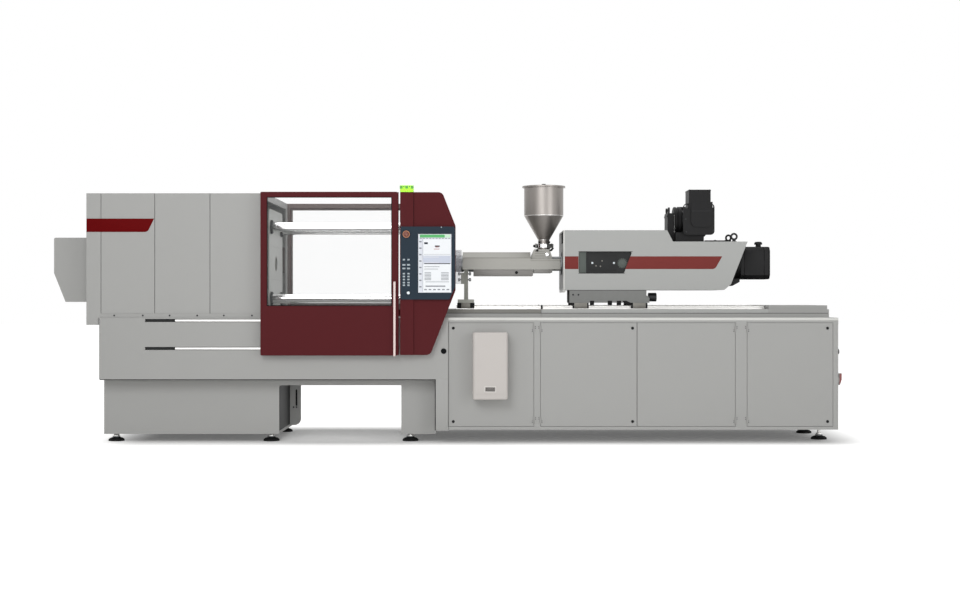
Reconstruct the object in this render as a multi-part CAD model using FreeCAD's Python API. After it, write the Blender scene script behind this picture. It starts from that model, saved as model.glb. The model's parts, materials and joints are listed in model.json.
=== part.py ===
import FreeCAD, Part
import math
import os

# Horizontal injection moulding machine with a double toggle clamp on the left
# and an injection unit that slides on a rail bed on the right.
# Millimetres. +X runs from the clamp to the injection unit, the operator
# stands at -Y, +Z is up and the floor is z = 0.

V = FreeCAD.Vector

# ---- driving dimensions: machine frame --------------------------------------
AXIS_Z = 1477.0  # height of the screw, the nozzle and the clamp axis
FRAME_HALF = 700.0  # half depth of the bed and the cabinet
SHEET = 15.0  # folded cover panels
BED_LEFT, BED_RIGHT = -2819.0, -84.0
BED_BOTTOM, BED_TOP = 522.0, 1020.0
FASCIA_RIGHT = 16.0  # the front skin of the bed laps over the cabinet
FASCIA = 20.0
BEAM_HALF, BEAM_BOTTOM = 560.0, 465.0  # set-back beam under the bed
CHUTE_X, CHUTE_HALF = (-1330.0, -420.0), 380.0  # parts fall through here
RAIL_SLOTS = ((987.0, 1012.0), (760.0, 785.0))  # heights of the door rails
RAIL_X = (-2444.0, -390.0)
PEDESTAL_BOTTOM = 65.0
PEDESTAL_LEFT_X, PEDESTAL_RIGHT_X = (-2815.0, -1376.0), (-372.0, -88.0)
FOOT_RADIUS = 66.0

# ---- driving dimensions: clamp ------------------------------------------------
COVER_LEFT, COVER_RIGHT = -2925.0, -1465.0
COVER_TOP = 2034.0
HOOD_X, HOOD_HALF, HOOD_Z = (-3237.0, -2925.0), 520.0, (1150.0, 1680.0)
TIE_BAR_R, TIE_BAR_Y, TIE_BAR_Z = 40.0, 325.0, 300.0
PLATEN_HALF, PLATEN_Z = 430.0, 450.0
END_PLATEN_X = (-2225.0, -2025.0)
MOVING_PLATEN_X = (-1655.0, -1475.0)
FIXED_PLATEN_X = (-369.0, -159.0)
LOCATING_R, LOCATING_DEPTH, NOZZLE_HOLE_R = 62.5, 30.0, 45.0
MOULD_BOLT_R, MOULD_BOLT_DEPTH, MOULD_BOLT_PITCH = 7.0, 35.0, 140.0
WINDOW_Y, WINDOW_Z = 170.0, 215.0  # half sizes of the end platen's window
BRIDGE_X = (-2460.0, -2415.0)  # bearing plate of the ball screw and the clamp motor

# Toggle, drawn with the clamp fully open. Both toggle links are equally long,
# so the knee lies midway between the pivots of the two platens.
LINK = 300.0
KNEE_SPREAD = 150.0  # distance between the two platen pivots when open
END_PIVOT_X, PLATEN_PIVOT_X = -1905.0, -1755.0
PIVOT_Z = 400.0  # height of the platen pivots over the axis
FOLD = math.acos(KNEE_SPREAD / 2 / LINK)
KNEE_X = END_PIVOT_X + LINK * math.cos(FOLD)
KNEE_Z = PIVOT_Z - LINK * math.sin(FOLD)
CROSSHEAD_ARM = 180.0  # along the rear link to the crosshead link's pin
ARM_PIN_R = 17.0
KNEE_EYE_R = 32.0  # fork end at the knee, clear of the arm pin in mid stroke
CROSSHEAD_LINK = 300.0
CROSSHEAD_PIVOT_Z = 110.0
ARM_X = END_PIVOT_X + CROSSHEAD_ARM * math.cos(FOLD)
ARM_Z = PIVOT_Z - CROSSHEAD_ARM * math.sin(FOLD)
CROSSHEAD_X = ARM_X - math.sqrt(CROSSHEAD_LINK**2 - (ARM_Z - CROSSHEAD_PIVOT_Z) ** 2)
PIN_R, RUNNING = 25.0, 0.05
CENTRE_LINK_HALF = 60.0  # rear links fill the middle
FORK_Y = (65.0, 115.0)  # front links are forks on both sides of them
OUTER_Y = (120.0, 145.0)  # crosshead links run outside the forks
SCREW_R = 30.0

# ---- driving dimensions: guard and control column ---------------------------
DOOR_X = (-1496.0, -390.0)
DOOR_Y = (760.0, 800.0)
DOOR_Z = (718.0, 2039.0)
PANE_X, PANE_Z = (-1445.0, -435.0), (1118.0, 1998.0)
COLUMN_X, COLUMN_Z = (-369.0, 77.0), (722.0, 2037.0)
PANEL_FRONT, BUTTON_BASE, BUTTON_R = -812.0, -806.0, 12.0
STOP_X, STOP_Z = -319.0, 1696.0
START_X, START_Z = -302.0, 1223.0

# ---- driving dimensions: cabinet and rails -----------------------------------
CABINET_X, CABINET_Z = (-84.0, 3188.0), (112.0, 1023.0)
CABINET_DOORS = (  # left edge, right edge, True where the hinges are on the right
    (20.0, 711.0, True),
    (768.0, 1549.0, False),
    (1554.0, 2349.0, True),
    (2448.0, 3143.0, False),
)
DOOR_SHEET, DOOR_GAP = 20.0, 3.0
CABINET_DOOR_Z = (140.0, 980.0)
HINGE_LEVELS, HINGE_TALL = (165.0, 905.0), 50.0
HINGE_R, HINGE_PIN_R, HINGE_STAND = 5.0, 2.5, 5.5  # knuckles stand just proud of the doors
RAIL_BED_X, RAIL_BED_HALF, RAIL_BED_TOP = (-25.0, 3157.0), 500.0, 1090.0
RAIL_BED_JOINT = 783.0
RAIL_Y, RAIL_HALF, RAIL_TOP = 300.0, 22.5, 1121.0
COOLER_X, COOLER_Y, COOLER_Z = (216.0, 499.0), (-860.0, -700.0), (365.0, 904.0)

# ---- driving dimensions: injection unit --------------------------------------
CARRIAGE_X, CARRIAGE_Z = (1023.0, 1692.0), (1143.0, 1250.0)
CARRIAGE_STEP = 20.0  # the rear half of its left end stands back by this much
UNIT_HALF = 340.0
UNIT_LEFT, UNIT_BOTTOM, UNIT_TOP, DECK = 972.0, 1253.0, 1750.0, 1655.0
REAR_BULKHEAD = 2300.0
GUIDE_ROD_R, GUIDE_ROD_Y = 25.0, 220.0
TOP_MOTOR_X, TOP_MOTOR_Y, TOP_MOTOR_Z, TOP_MOTOR_HALF = 2118.0, (-250.0, 250.0), 1847.0, 132.0
BARREL_R, BARREL_BORE, SCREW_FLIGHT_R = 62.0, 22.5, 22.4
HOPPER_X, HOPPER_R, HOPPER_THROAT = 822.0, 168.0, 49.0
FEED_TOP = 1599.0
PURGE_X, PURGE_Y, PURGE_Z = (-100.0, 116.0), 156.0, (1302.0, 1593.0)
PURGE_WALL, PURGE_APRON = 5.0, 40.0  # the rear apron stays short, so it clears the barrel


# ---- building blocks -----------------------------------------------------------
def box(x0, x1, y0, y1, z0, z1):
    """Block between two opposite corners."""
    return Part.makeBox(x1 - x0, y1 - y0, z1 - z0, V(x0, y0, z0))


def rod_x(y, z, radius, x0, x1):
    """Round bar along X."""
    return Part.makeCylinder(radius, x1 - x0, V(x0, y, z), V(1, 0, 0))


def rod_y(x, z, radius, y0, y1):
    """Round bar along Y."""
    return Part.makeCylinder(radius, y1 - y0, V(x, y0, z), V(0, 1, 0))


def rod_z(x, y, radius, z0, z1):
    """Round bar along Z."""
    return Part.makeCylinder(radius, z1 - z0, V(x, y, z0), V(0, 0, 1))


def plate_y(outline, y0, y1):
    """Plate with an outline in X and Z, between two depths."""
    face = Part.Face(Part.makePolygon([V(x, y0, z) for x, z in outline + outline[:1]]))
    return face.extrude(V(0, y1 - y0, 0))


def turned(profile, base, axis):
    """Solid of revolution from (radius, height) points along an axis from base."""
    points = [V(r, 0, h) for r, h in profile]
    solid = Part.Face(Part.makePolygon(points + points[:1])).revolve(V(0, 0, 0), V(0, 0, 1), 360)
    placed = Part.makeSolid(solid) if solid.ShapeType == "Shell" else solid
    placed.Placement = FreeCAD.Placement(base, FreeCAD.Rotation(V(0, 0, 1), axis))
    return placed


def fuse(shapes):
    """One solid out of touching shapes."""
    return shapes[0].multiFuse(shapes[1:]).removeSplitter()


def group(shapes):
    """Several separate solids kept in one node."""
    return Part.makeCompound(shapes)


def cut(shape, tools):
    """Shape with every tool taken away."""
    return shape.cut(group(tools))


def rounded(shape, radius, along, keep=lambda point: True):
    """Shape with its straight edges along one axis rounded, where keep says so."""
    edges = []
    for edge in shape.Edges:
        if edge.Curve.TypeId != "Part::GeomLine":
            continue
        direction = edge.tangentAt(edge.FirstParameter)
        if abs(direction.dot(along)) > 0.999 and keep(edge.CenterOfMass):
            edges.append(edge)
    return shape.makeFillet(radius, edges)


def mirrored_y(shape):
    """The same shape on the far side of the machine."""
    return shape.mirror(V(0, 0, 0), V(0, 1, 0))


def both_sides(shape):
    """A shape and its mirror image across the centre plane."""
    return [shape, mirrored_y(shape)]


def tie_bar_centres():
    """Y and Z of the four tie bars."""
    return [(y, AXIS_Z + z) for y in (-TIE_BAR_Y, TIE_BAR_Y) for z in (-TIE_BAR_Z, TIE_BAR_Z)]


# ---- machine frame --------------------------------------------------------------
def machine_bed():
    """Welded bed with its front skin, set-back beam, chute and door rail slots."""
    body = box(BED_LEFT, BED_RIGHT - 0.3, -FRAME_HALF, FRAME_HALF, BED_BOTTOM, BED_TOP)
    skin = box(BED_LEFT, FASCIA_RIGHT, -FRAME_HALF - FASCIA, -FRAME_HALF, BED_BOTTOM, BED_TOP)
    beam = box(BED_LEFT + 20, BED_RIGHT - 0.3, -BEAM_HALF, BEAM_HALF, BEAM_BOTTOM, BED_BOTTOM)
    bed = fuse([body, skin, beam])
    bed = rounded(bed, 12.0, V(0, 0, 1), lambda p: p.x < BED_LEFT + 1)
    chute = box(*CHUTE_X, -CHUTE_HALF, CHUTE_HALF, BEAM_BOTTOM - 1, BED_TOP + 1)
    slots = []
    for z0, z1 in RAIL_SLOTS:
        slots.append(box(*RAIL_X, -FRAME_HALF - FASCIA - 1, -FRAME_HALF + 20, z0, z1))
        slots.append(box(*RAIL_X, FRAME_HALF - 20, FRAME_HALF + 1, z0, z1))
    return cut(bed, [rounded(chute, 40.0, V(0, 0, 1))] + slots)


def pedestal_left():
    """Left pedestal with the stiffener plate welded to its inner end."""
    block = box(*PEDESTAL_LEFT_X, -BEAM_HALF, BEAM_HALF, PEDESTAL_BOTTOM, BEAM_BOTTOM)
    plate_end = PEDESTAL_LEFT_X[1] + 96
    plate = box(PEDESTAL_LEFT_X[1], plate_end, 160, 172, 80, BEAM_BOTTOM)
    plate = rounded(plate, 55.0, V(0, 1, 0), lambda p: p.z < 81 and p.x > plate_end - 1)
    slot = box(plate_end - 47, plate_end - 31, 150, 180, 246, 390)
    slot = rounded(slot, 7.9, V(0, 1, 0))
    return cut(fuse([block, plate]), [slot])


def pedestal_right():
    """Right pedestal, a welded box open towards the middle of the machine."""
    block = box(*PEDESTAL_RIGHT_X, -BEAM_HALF, BEAM_HALF, PEDESTAL_BOTTOM, BEAM_BOTTOM)
    recess = box(PEDESTAL_RIGHT_X[0] - 1, PEDESTAL_RIGHT_X[0] + 60, -500, 500, 110, 420)
    return cut(block, [recess])


def levelling_foot(x, y, top):
    """Rubber-soled base with its threaded stud and lock nut."""
    profile = [(0, 0), (FOOT_RADIUS, 0), (FOOT_RADIUS, 14), (FOOT_RADIUS - 14, 24), (22, 34), (12, 36)]
    profile += [(12, top), (0, top)]
    foot = turned(profile, V(x, y, 0), V(0, 0, 1))
    nut = Part.makeCylinder(20, 12, V(x, y, top - 12), V(0, 0, 1))
    return fuse([foot, nut])


def levelling_feet():
    """Eight levelling feet: six under the pedestals, two under the cabinet."""
    feet = []
    for y in (-450.0, 450.0):
        for x in (-2738.0, -1453.0, -301.0):
            feet.append(levelling_foot(x, y, PEDESTAL_BOTTOM))
    for y in (-300.0, 300.0):
        feet.append(levelling_foot(3116.0, y, 100.0))
    return group(feet)


# ---- clamp covers ---------------------------------------------------------------
def clamp_cover_front():
    """Folded front cover: three panels with open joints and a turned-in right end."""
    inner = -FRAME_HALF + SHEET
    panel = box(COVER_LEFT, COVER_RIGHT, -FRAME_HALF, inner, BED_TOP, COVER_TOP)
    tab = box(COVER_LEFT, COVER_LEFT + 100, -FRAME_HALF, inner, BED_TOP - 57, BED_TOP)
    flange = box(COVER_RIGHT - SHEET, COVER_RIGHT, inner, inner + 45, BED_TOP, COVER_TOP - SHEET)
    cover = fuse([panel, tab, flange])
    joints = []
    for x in (-2806.0, -2369.0, -1920.0):
        joints.append(box(x - 2, x + 2, -FRAME_HALF - 1, -FRAME_HALF + 5, BED_TOP + 36, COVER_TOP + 1))
    seam = box(-2804, COVER_RIGHT + 1, -FRAME_HALF - 1, -FRAME_HALF + 3, BED_TOP + 34, BED_TOP + 37)
    joints.append(seam)
    return cut(cover, joints)


def clamp_cover_top():
    """Top cover between the front and rear covers, with a turned-down right end."""
    half = FRAME_HALF - SHEET
    panel = box(COVER_LEFT, COVER_RIGHT, -half, half, COVER_TOP - SHEET, COVER_TOP)
    lip_half = half - 45
    lip = box(COVER_RIGHT - SHEET, COVER_RIGHT, -lip_half, lip_half, COVER_TOP - 55, COVER_TOP - SHEET)
    return fuse([panel, lip])


def clamp_cover_end():
    """Left end cover with the opening that leads into the drive hood."""
    half = FRAME_HALF - SHEET
    panel = box(COVER_LEFT, COVER_LEFT + SHEET, -half, half, BED_TOP - 57, COVER_TOP - SHEET)
    opening = box(COVER_LEFT - 1, COVER_LEFT + SHEET + 1, -480, 480, HOOD_Z[0] + 40, HOOD_Z[1] - 40)
    return cut(panel, [opening])


def end_hood():
    """Sheet hood over the clamp drive, open towards the machine, slanted underneath."""
    left, right = HOOD_X
    bottom, top = HOOD_Z

    def profile(inset, end):
        return [
            (left + inset, top - inset),
            (end, top - inset),
            (end, bottom + inset),
            (left + 95 + inset * 0.6, bottom + inset),
            (left + inset, bottom + 237 + inset * 0.4),
        ]

    outer = plate_y(profile(0.0, right), -HOOD_HALF, HOOD_HALF)
    outer = rounded(outer, 14.0, V(0, 1, 0), lambda p: p.x < left + 100 and p.z > bottom + 200)
    inner = plate_y(profile(12.0, right + 1), -HOOD_HALF + 12, HOOD_HALF - 12)
    return cut(outer, [inner])


# ---- clamp ----------------------------------------------------------------------
def lug(face_x, pivot_x, pivot_z, radius, y0, y1, bore):
    """Rounded ear that stands off a platen face and carries a pin."""
    low, high = sorted((face_x, pivot_x))
    web = box(low, high, y0, y1, pivot_z - radius, pivot_z + radius)
    eye = rod_y(pivot_x, pivot_z, radius, y0, y1)
    return cut(fuse([web, eye]), [rod_y(pivot_x, pivot_z, bore, y0 - 1, y1 + 1)])


def platen_block(x_range, shoe_gap):
    """Cast platen with rounded upright edges, standing on two guide shoes."""
    bottom = AXIS_Z - PLATEN_Z
    block = box(*x_range, -PLATEN_HALF, PLATEN_HALF, bottom, AXIS_Z + PLATEN_Z)
    block = rounded(block, 45.0, V(1, 0, 0))
    shoes = []
    for side in (-1, 1):
        low, high = sorted((side * 300.0, side * 425.0))
        if shoe_gap > 0:
            low, high = sorted((side * 386.0, side * 440.0))
        shoes.append(box(x_range[0] + 10, x_range[1] - 10, low, high, BED_TOP + shoe_gap, bottom + 60))
    return fuse([block] + shoes)


def tie_bar_holes(x_range, radius):
    """Four holes through a platen for the tie bars."""
    return [rod_x(y, z, radius, x_range[0] - 1, x_range[1] + 1) for y, z in tie_bar_centres()]


def mould_bolt_holes(face_x, into):
    """Grid of tapped holes in a mould mounting face; into is +1 or -1 along X."""
    spots = [(y, z) for y in (-1, 0, 1) for z in (-2, -1, 1, 2)]
    spots += [(y, z) for y in (-2, 2) for z in (-1, 0, 1)]
    start, end = sorted((face_x - into, face_x + into * MOULD_BOLT_DEPTH))
    holes = []
    for y, z in spots:
        centre_z = AXIS_Z + z * MOULD_BOLT_PITCH
        holes.append(rod_x(y * MOULD_BOLT_PITCH, centre_z, MOULD_BOLT_R, start, end))
    return holes


def end_platen():
    """Rear platen: crosshead window, toggle ears and the bridge for the ball screw."""
    left, right = END_PLATEN_X
    parts = [platen_block(END_PLATEN_X, 0.0)]
    for z in (AXIS_Z - PIVOT_Z, AXIS_Z + PIVOT_Z):
        parts += both_sides(lug(right, END_PIVOT_X, z, 52.0, *FORK_Y, PIN_R + RUNNING))
    parts.append(box(*BRIDGE_X, -260, 260, AXIS_Z - 110, AXIS_Z + 110))
    parts += both_sides(box(BRIDGE_X[0], left, 215, 260, AXIS_Z - 80, AXIS_Z + 80))
    window = box(left - 1, right + 1, -WINDOW_Y, WINDOW_Y, AXIS_Z - WINDOW_Z, AXIS_Z + WINDOW_Z)
    holes = [rounded(window, 40.0, V(1, 0, 0))]
    holes += tie_bar_holes(END_PLATEN_X, TIE_BAR_R)
    holes.append(rod_x(0, AXIS_Z, SCREW_R + RUNNING, BRIDGE_X[0] - 1, BRIDGE_X[1] + 1))
    return cut(fuse(parts), holes)


def fixed_platen():
    """Nozzle side platen: locating bore, nozzle funnel, mould bolt holes."""
    left, right = FIXED_PLATEN_X
    holes = tie_bar_holes(FIXED_PLATEN_X, TIE_BAR_R)
    holes += mould_bolt_holes(left, 1)
    holes.append(rod_x(0, AXIS_Z, LOCATING_R, left - 1, left + LOCATING_DEPTH))
    holes.append(rod_x(0, AXIS_Z, NOZZLE_HOLE_R, left, right))
    funnel = Part.makeCone(NOZZLE_HOLE_R, 150, right - left - 70, V(left + 71, 0, AXIS_Z), V(1, 0, 0))
    body = cut(platen_block(FIXED_PLATEN_X, 0.0), holes + [funnel])
    hinge_pin = rod_x(PURGE_Y, PURGE_Z[1], 5.95, right - 1, PURGE_X[0] + 60)
    return body.fuse(hinge_pin)


def moving_platen():
    """Moving platen: bored for the tie bars, ears for the forks, ejector passage."""
    left, right = MOVING_PLATEN_X
    parts = [platen_block(MOVING_PLATEN_X, 0.3)]
    half = CENTRE_LINK_HALF
    for z in (AXIS_Z - PIVOT_Z, AXIS_Z + PIVOT_Z):
        parts.append(lug(left, PLATEN_PIVOT_X, z, 48.0, -half, half, PIN_R + RUNNING))
    holes = tie_bar_holes(MOVING_PLATEN_X, TIE_BAR_R + RUNNING)
    holes += mould_bolt_holes(right, -1)
    holes.append(rod_x(0, AXIS_Z, 60.0, left - 1, left + 120))
    holes.append(rod_x(0, AXIS_Z, 22.05, left, right))
    holes.append(rod_x(0, AXIS_Z, 50.0, right - 25, right + 1))
    return cut(fuse(parts), holes)


def tie_bars():
    """Four ground and plated tie bars."""
    bars = []
    for y, z in tie_bar_centres():
        bars.append(rod_x(y, z, TIE_BAR_R, END_PLATEN_X[0] - 105, FIXED_PLATEN_X[1] + 69))
    return group(bars)


def tie_bar_nuts():
    """Round slotted nuts outside both fixed platens."""
    nuts = []
    left_seat, right_seat = END_PLATEN_X[0], FIXED_PLATEN_X[1]
    for y, z in tie_bar_centres():
        for x0, x1 in ((left_seat - 75, left_seat), (right_seat, right_seat + 54)):
            ring = rod_x(y, z, 70.0, x0, x1).cut(rod_x(y, z, TIE_BAR_R, x0 - 1, x1 + 1))
            slots = []
            for turn in range(4):
                slot = box(x0 - 1, x1 + 1, y - 6, y + 6, z + 62, z + 75)
                slot.rotate(V(0, y, z), V(1, 0, 0), 45 + 90 * turn)
                slots.append(slot)
            nuts.append(cut(ring, slots))
    return group(nuts)


def bar_between(a, b, half, radius_a, radius_b, y0, y1):
    """Link plate between two pivots (x, z): a straight bar with a round eye at each."""
    along = V(b[0] - a[0], 0, b[1] - a[1]).normalize()
    across = V(-along.z, 0, along.x) * half
    corners = []
    for point, side in ((a, 1), (b, 1), (b, -1), (a, -1)):
        corners.append((point[0] + across.x * side, point[1] + across.z * side))
    eyes = [rod_y(a[0], a[1], radius_a, y0, y1), rod_y(b[0], b[1], radius_b, y0, y1)]
    return fuse([plate_y(corners, y0, y1)] + eyes)


def toggle_rear_link(side):
    """Link from the end platen to the knee with its pins; side +1 is the upper one."""
    pivot = (END_PIVOT_X, AXIS_Z + side * PIVOT_Z)
    knee = (KNEE_X, AXIS_Z + side * KNEE_Z)
    arm = (ARM_X, AXIS_Z + side * ARM_Z)
    half = CENTRE_LINK_HALF
    bar = bar_between(pivot, knee, 40.0, 48.0, 42.0, -half, half)
    platen_pin = rod_y(*pivot, PIN_R, -FORK_Y[1], FORK_Y[1])
    knee_pin = rod_y(*knee, PIN_R, -half - 3, half + 3)
    arm_pin = rod_y(*arm, ARM_PIN_R, -OUTER_Y[0] + 3, OUTER_Y[0] - 3)
    return fuse([bar, platen_pin, knee_pin, arm_pin])


def toggle_front_link(side):
    """Fork from the moving platen to the knee: two plates, cross tube and platen pin."""
    pivot = (PLATEN_PIVOT_X, AXIS_Z + side * PIVOT_Z)
    knee = (KNEE_X, AXIS_Z + side * KNEE_Z)
    parts = both_sides(bar_between(pivot, knee, 29.0, 46.0, KNEE_EYE_R, *FORK_Y))
    cap = (FORK_Y[1], FORK_Y[1] + 3)
    parts += both_sides(rod_y(*knee, PIN_R + 4, *cap))
    parts.append(rod_y(*pivot, PIN_R, -FORK_Y[1], FORK_Y[1]))
    share = 90.0 / LINK
    tube_x = pivot[0] + (knee[0] - pivot[0]) * share
    tube_z = pivot[1] + (knee[1] - pivot[1]) * share
    parts.append(rod_y(tube_x, tube_z, 20.0, -FORK_Y[0] - 1, FORK_Y[0] + 1))
    return fuse(parts)


def crosshead():
    """Block with the ball nut bore and four trunnions."""
    tall, low = CROSSHEAD_PIVOT_Z + 40, CROSSHEAD_PIVOT_Z - 40
    upper = [(60, low), (34, tall), (-34, tall), (-60, low)]
    outline = [(x, -z) for x, z in reversed(upper)] + upper
    block = plate_y([(CROSSHEAD_X + x, AXIS_Z + z) for x, z in outline], -FORK_Y[1], FORK_Y[1])
    trunnions = []
    for z in (AXIS_Z - CROSSHEAD_PIVOT_Z, AXIS_Z + CROSSHEAD_PIVOT_Z):
        trunnions.append(rod_y(CROSSHEAD_X, z, 20.0, -OUTER_Y[1] - 5, OUTER_Y[1] + 5))
    nut = rod_x(0, AXIS_Z, 58.0, CROSSHEAD_X - 100, CROSSHEAD_X - 60)
    bore = rod_x(0, AXIS_Z, SCREW_R + RUNNING, CROSSHEAD_X - 101, CROSSHEAD_X + 61)
    return cut(fuse([block, nut] + trunnions), [bore])


def crosshead_link(side):
    """Pair of outer plates from the crosshead trunnions to the arm of the rear link."""
    trunnion = (CROSSHEAD_X, AXIS_Z + side * CROSSHEAD_PIVOT_Z)
    arm = (ARM_X, AXIS_Z + side * ARM_Z)
    plate = bar_between(trunnion, arm, 22.0, 36.0, 30.0, *OUTER_Y)
    plate = cut(plate, [rod_y(*trunnion, 20.0 + RUNNING, OUTER_Y[0] - 1, OUTER_Y[1] + 1)])
    return group(both_sides(plate))


def clamp_ball_screw():
    """Ball screw between its bearing bridge and the toggle."""
    start = END_PLATEN_X[0] - 475
    collar = rod_x(0, AXIS_Z, 44.0, END_PLATEN_X[0] - 180, END_PLATEN_X[0] - 160)
    return fuse([rod_x(0, AXIS_Z, SCREW_R, start, -1740.0), collar])


def clamp_motor():
    """Servo motor of the ball screw, carried by the bridge and covered by the hood."""
    profile = [(33, 0), (140, 0), (140, 30), (105, 40), (105, 120), (155, 130), (155, 560), (135, 590)]
    profile += [(60, 590), (60, 300), (33, 300)]
    return turned(profile, V(BRIDGE_X[0], 0, AXIS_Z), V(-1, 0, 0))


def ejector_rod():
    """Central ejector with its head behind the moving platen."""
    head = rod_x(0, AXIS_Z, 45.0, MOVING_PLATEN_X[0] - 35, MOVING_PLATEN_X[0] - 10)
    rod = rod_x(0, AXIS_Z, 22.0, MOVING_PLATEN_X[0] - 10, MOVING_PLATEN_X[1] - 15)
    return fuse([head, rod])


# ---- safety doors and control column --------------------------------------------
def door_rails():
    """Ground bars in the slots of the bed, two on each side."""
    bars = []
    for z0, z1 in RAIL_SLOTS:
        bar = box(-2200.0, RAIL_X[1], -FRAME_HALF - FASCIA + 1, -FRAME_HALF + 20, z0 + 5, z1 - 5)
        bars += both_sides(bar)
    return group(bars)


def door_frame():
    """Front door: stiles, top rail and a deep lower panel, with its rail carriers."""
    near, far = -DOOR_Y[1], -DOOR_Y[0]
    panel = box(*DOOR_X, near, far, *DOOR_Z)
    panel = rounded(panel, 10.0, V(0, 1, 0))
    window = box(*PANE_X, near - 1, far + 1, *PANE_Z)
    pocket = box(DOOR_X[0] + 40, DOOR_X[1] - 40, near + 4, far + 1, DOOR_Z[0] + 40, PANE_Z[0] - 40)
    parts = [cut(panel, [window, pocket])]
    for z0, z1 in RAIL_SLOTS:
        for x in (-1240.0, -520.0):
            parts.append(box(x, x + 90, near + 3, -FRAME_HALF - FASCIA + 0.5, z0 + 2, z1 - 2))
    return fuse(parts)


def door_pane():
    """Clear sheet in the door's window."""
    return box(*PANE_X, -DOOR_Y[1] + 14, -DOOR_Y[1] + 22, *PANE_Z)


def door_handle():
    """Tall square bar on two stand-offs."""
    near = -DOOR_Y[1]
    bar = rounded(box(-423, -404, near - 35, near - 15, 714, 1314), 4.0, V(0, 0, 1))
    posts = [rod_y(-413.5, z, 8.0, near - 16, near) for z in (770.0, 1260.0)]
    return fuse([bar] + posts)


def door_rear():
    """Rear door frame with the same rail carriers."""
    return mirrored_y(door_frame())


def column_outline(inset):
    """Side-on outline of the control column, with its slanted right edge."""
    left, right = COLUMN_X
    low, high = COLUMN_Z
    return [
        (left + inset, low + inset),
        (-128.0 - inset * 0.7, low + inset),
        (right - inset, 1244.0 + inset * 0.2),
        (right - inset, 1767.0 - inset * 0.2),
        (-30.0 - inset * 0.7, high - inset),
        (left + inset, high - inset),
    ]


def control_column():
    """Column with a raised left strip, rounded on its right side."""
    outline = column_outline(0.0)
    skin = plate_y(outline, -785.0, -FRAME_HALF - FASCIA)
    skin = rounded(skin, 45.0, V(0, 1, 0), lambda p: p.x > -200)
    back = box(COLUMN_X[0] + 10, COLUMN_X[1] - 60, -FRAME_HALF - FASCIA, -610, BED_TOP + 80, 1750)
    base = box(COLUMN_X[0] + 10, -160, -FRAME_HALF - FASCIA, -610, BED_TOP, BED_TOP + 80)
    crown = box(COLUMN_X[0] + 10, -60, -FRAME_HALF - FASCIA, -610, 1750, 2010)
    strip = box(COLUMN_X[0], -262.0, -800.0, -785.0, *COLUMN_Z)
    return fuse([skin, base, back, crown, strip])


def control_panel():
    """Dark operating panel with the collars of its two buttons."""
    outline = [(-364, 1170), (28, 1170), (73, 1270), (73, 1742), (66, 1758), (-364, 1758)]
    panel = plate_y(outline, PANEL_FRONT, -785.0)
    behind = box(COLUMN_X[0] - 1, -262.0, -800.0, -784.0, 1100, 1800)
    panel = panel.cut(behind)
    stop_collar = rod_y(STOP_X, STOP_Z, 31.0, -820, PANEL_FRONT)
    start_collar = rod_y(START_X, START_Z, 16.0, -816, PANEL_FRONT)
    bores = [
        rod_y(STOP_X, STOP_Z, BUTTON_R + 0.3, -821, BUTTON_BASE + 5),
        rod_y(START_X, START_Z, BUTTON_R + 0.3, -821, BUTTON_BASE + 3),
    ]
    return cut(fuse([panel, stop_collar, start_collar]), bores)


def touch_screen():
    """Portrait touch screen, a 21.5 inch display in a thin bezel."""
    screen = box(-223, 45, PANEL_FRONT - 5, PANEL_FRONT, 1224, 1698)
    return rounded(screen, 6.0, V(0, 1, 0))


def emergency_stop():
    """Mushroom head on its stem."""
    profile = [(0, 0), (BUTTON_R, 0), (BUTTON_R, 19), (20, 21), (20, 30), (14, 35), (0, 36)]
    return turned(profile, V(STOP_X, BUTTON_BASE, STOP_Z), V(0, -1, 0))


def start_button():
    """Round push button."""
    return rod_y(START_X, START_Z, BUTTON_R, -820, BUTTON_BASE)


def signal_lamp():
    """Flat signal lamp with its dark foot on top of the column."""
    foot = box(-366, -266, -794, -700, 2037, 2043)
    lens = rounded(box(-371, -262, -797, -697, 2043, 2091), 10.0, V(0, 0, 1))
    return fuse([foot, lens])


def guard_post_rear():
    """Jamb that the rear door closes against."""
    post = box(-369, -255, 625, 759, BED_TOP, 2037)
    return rounded(post, 12.0, V(0, 0, 1))


# ---- cabinet --------------------------------------------------------------------
def hinge_half(index, level, on_door):
    """Half of a surface hinge: lower knuckle on the door, upper knuckle and pin on the frame."""
    x0, x1, on_right = CABINET_DOORS[index]
    axis = x1 + DOOR_GAP / 2 if on_right else x0 - DOOR_GAP / 2
    side = -1 if on_right == on_door else 1
    middle = level + HINGE_TALL / 2
    low, high = (level, middle - 0.25) if on_door else (middle + 0.25, level + HINGE_TALL)
    near, far = sorted((axis, axis + side * 20.0))
    y = -FRAME_HALF - HINGE_STAND
    leaf = box(near, far, -FRAME_HALF - 2, -FRAME_HALF, low, high)
    half = fuse([rod_z(axis, y, HINGE_R, low, high), leaf])
    if on_door:
        return half.cut(rod_z(axis, y, HINGE_PIN_R + RUNNING, low - 1, high + 1))
    return half.fuse(rod_z(axis, y, HINGE_PIN_R, level, high))


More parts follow.
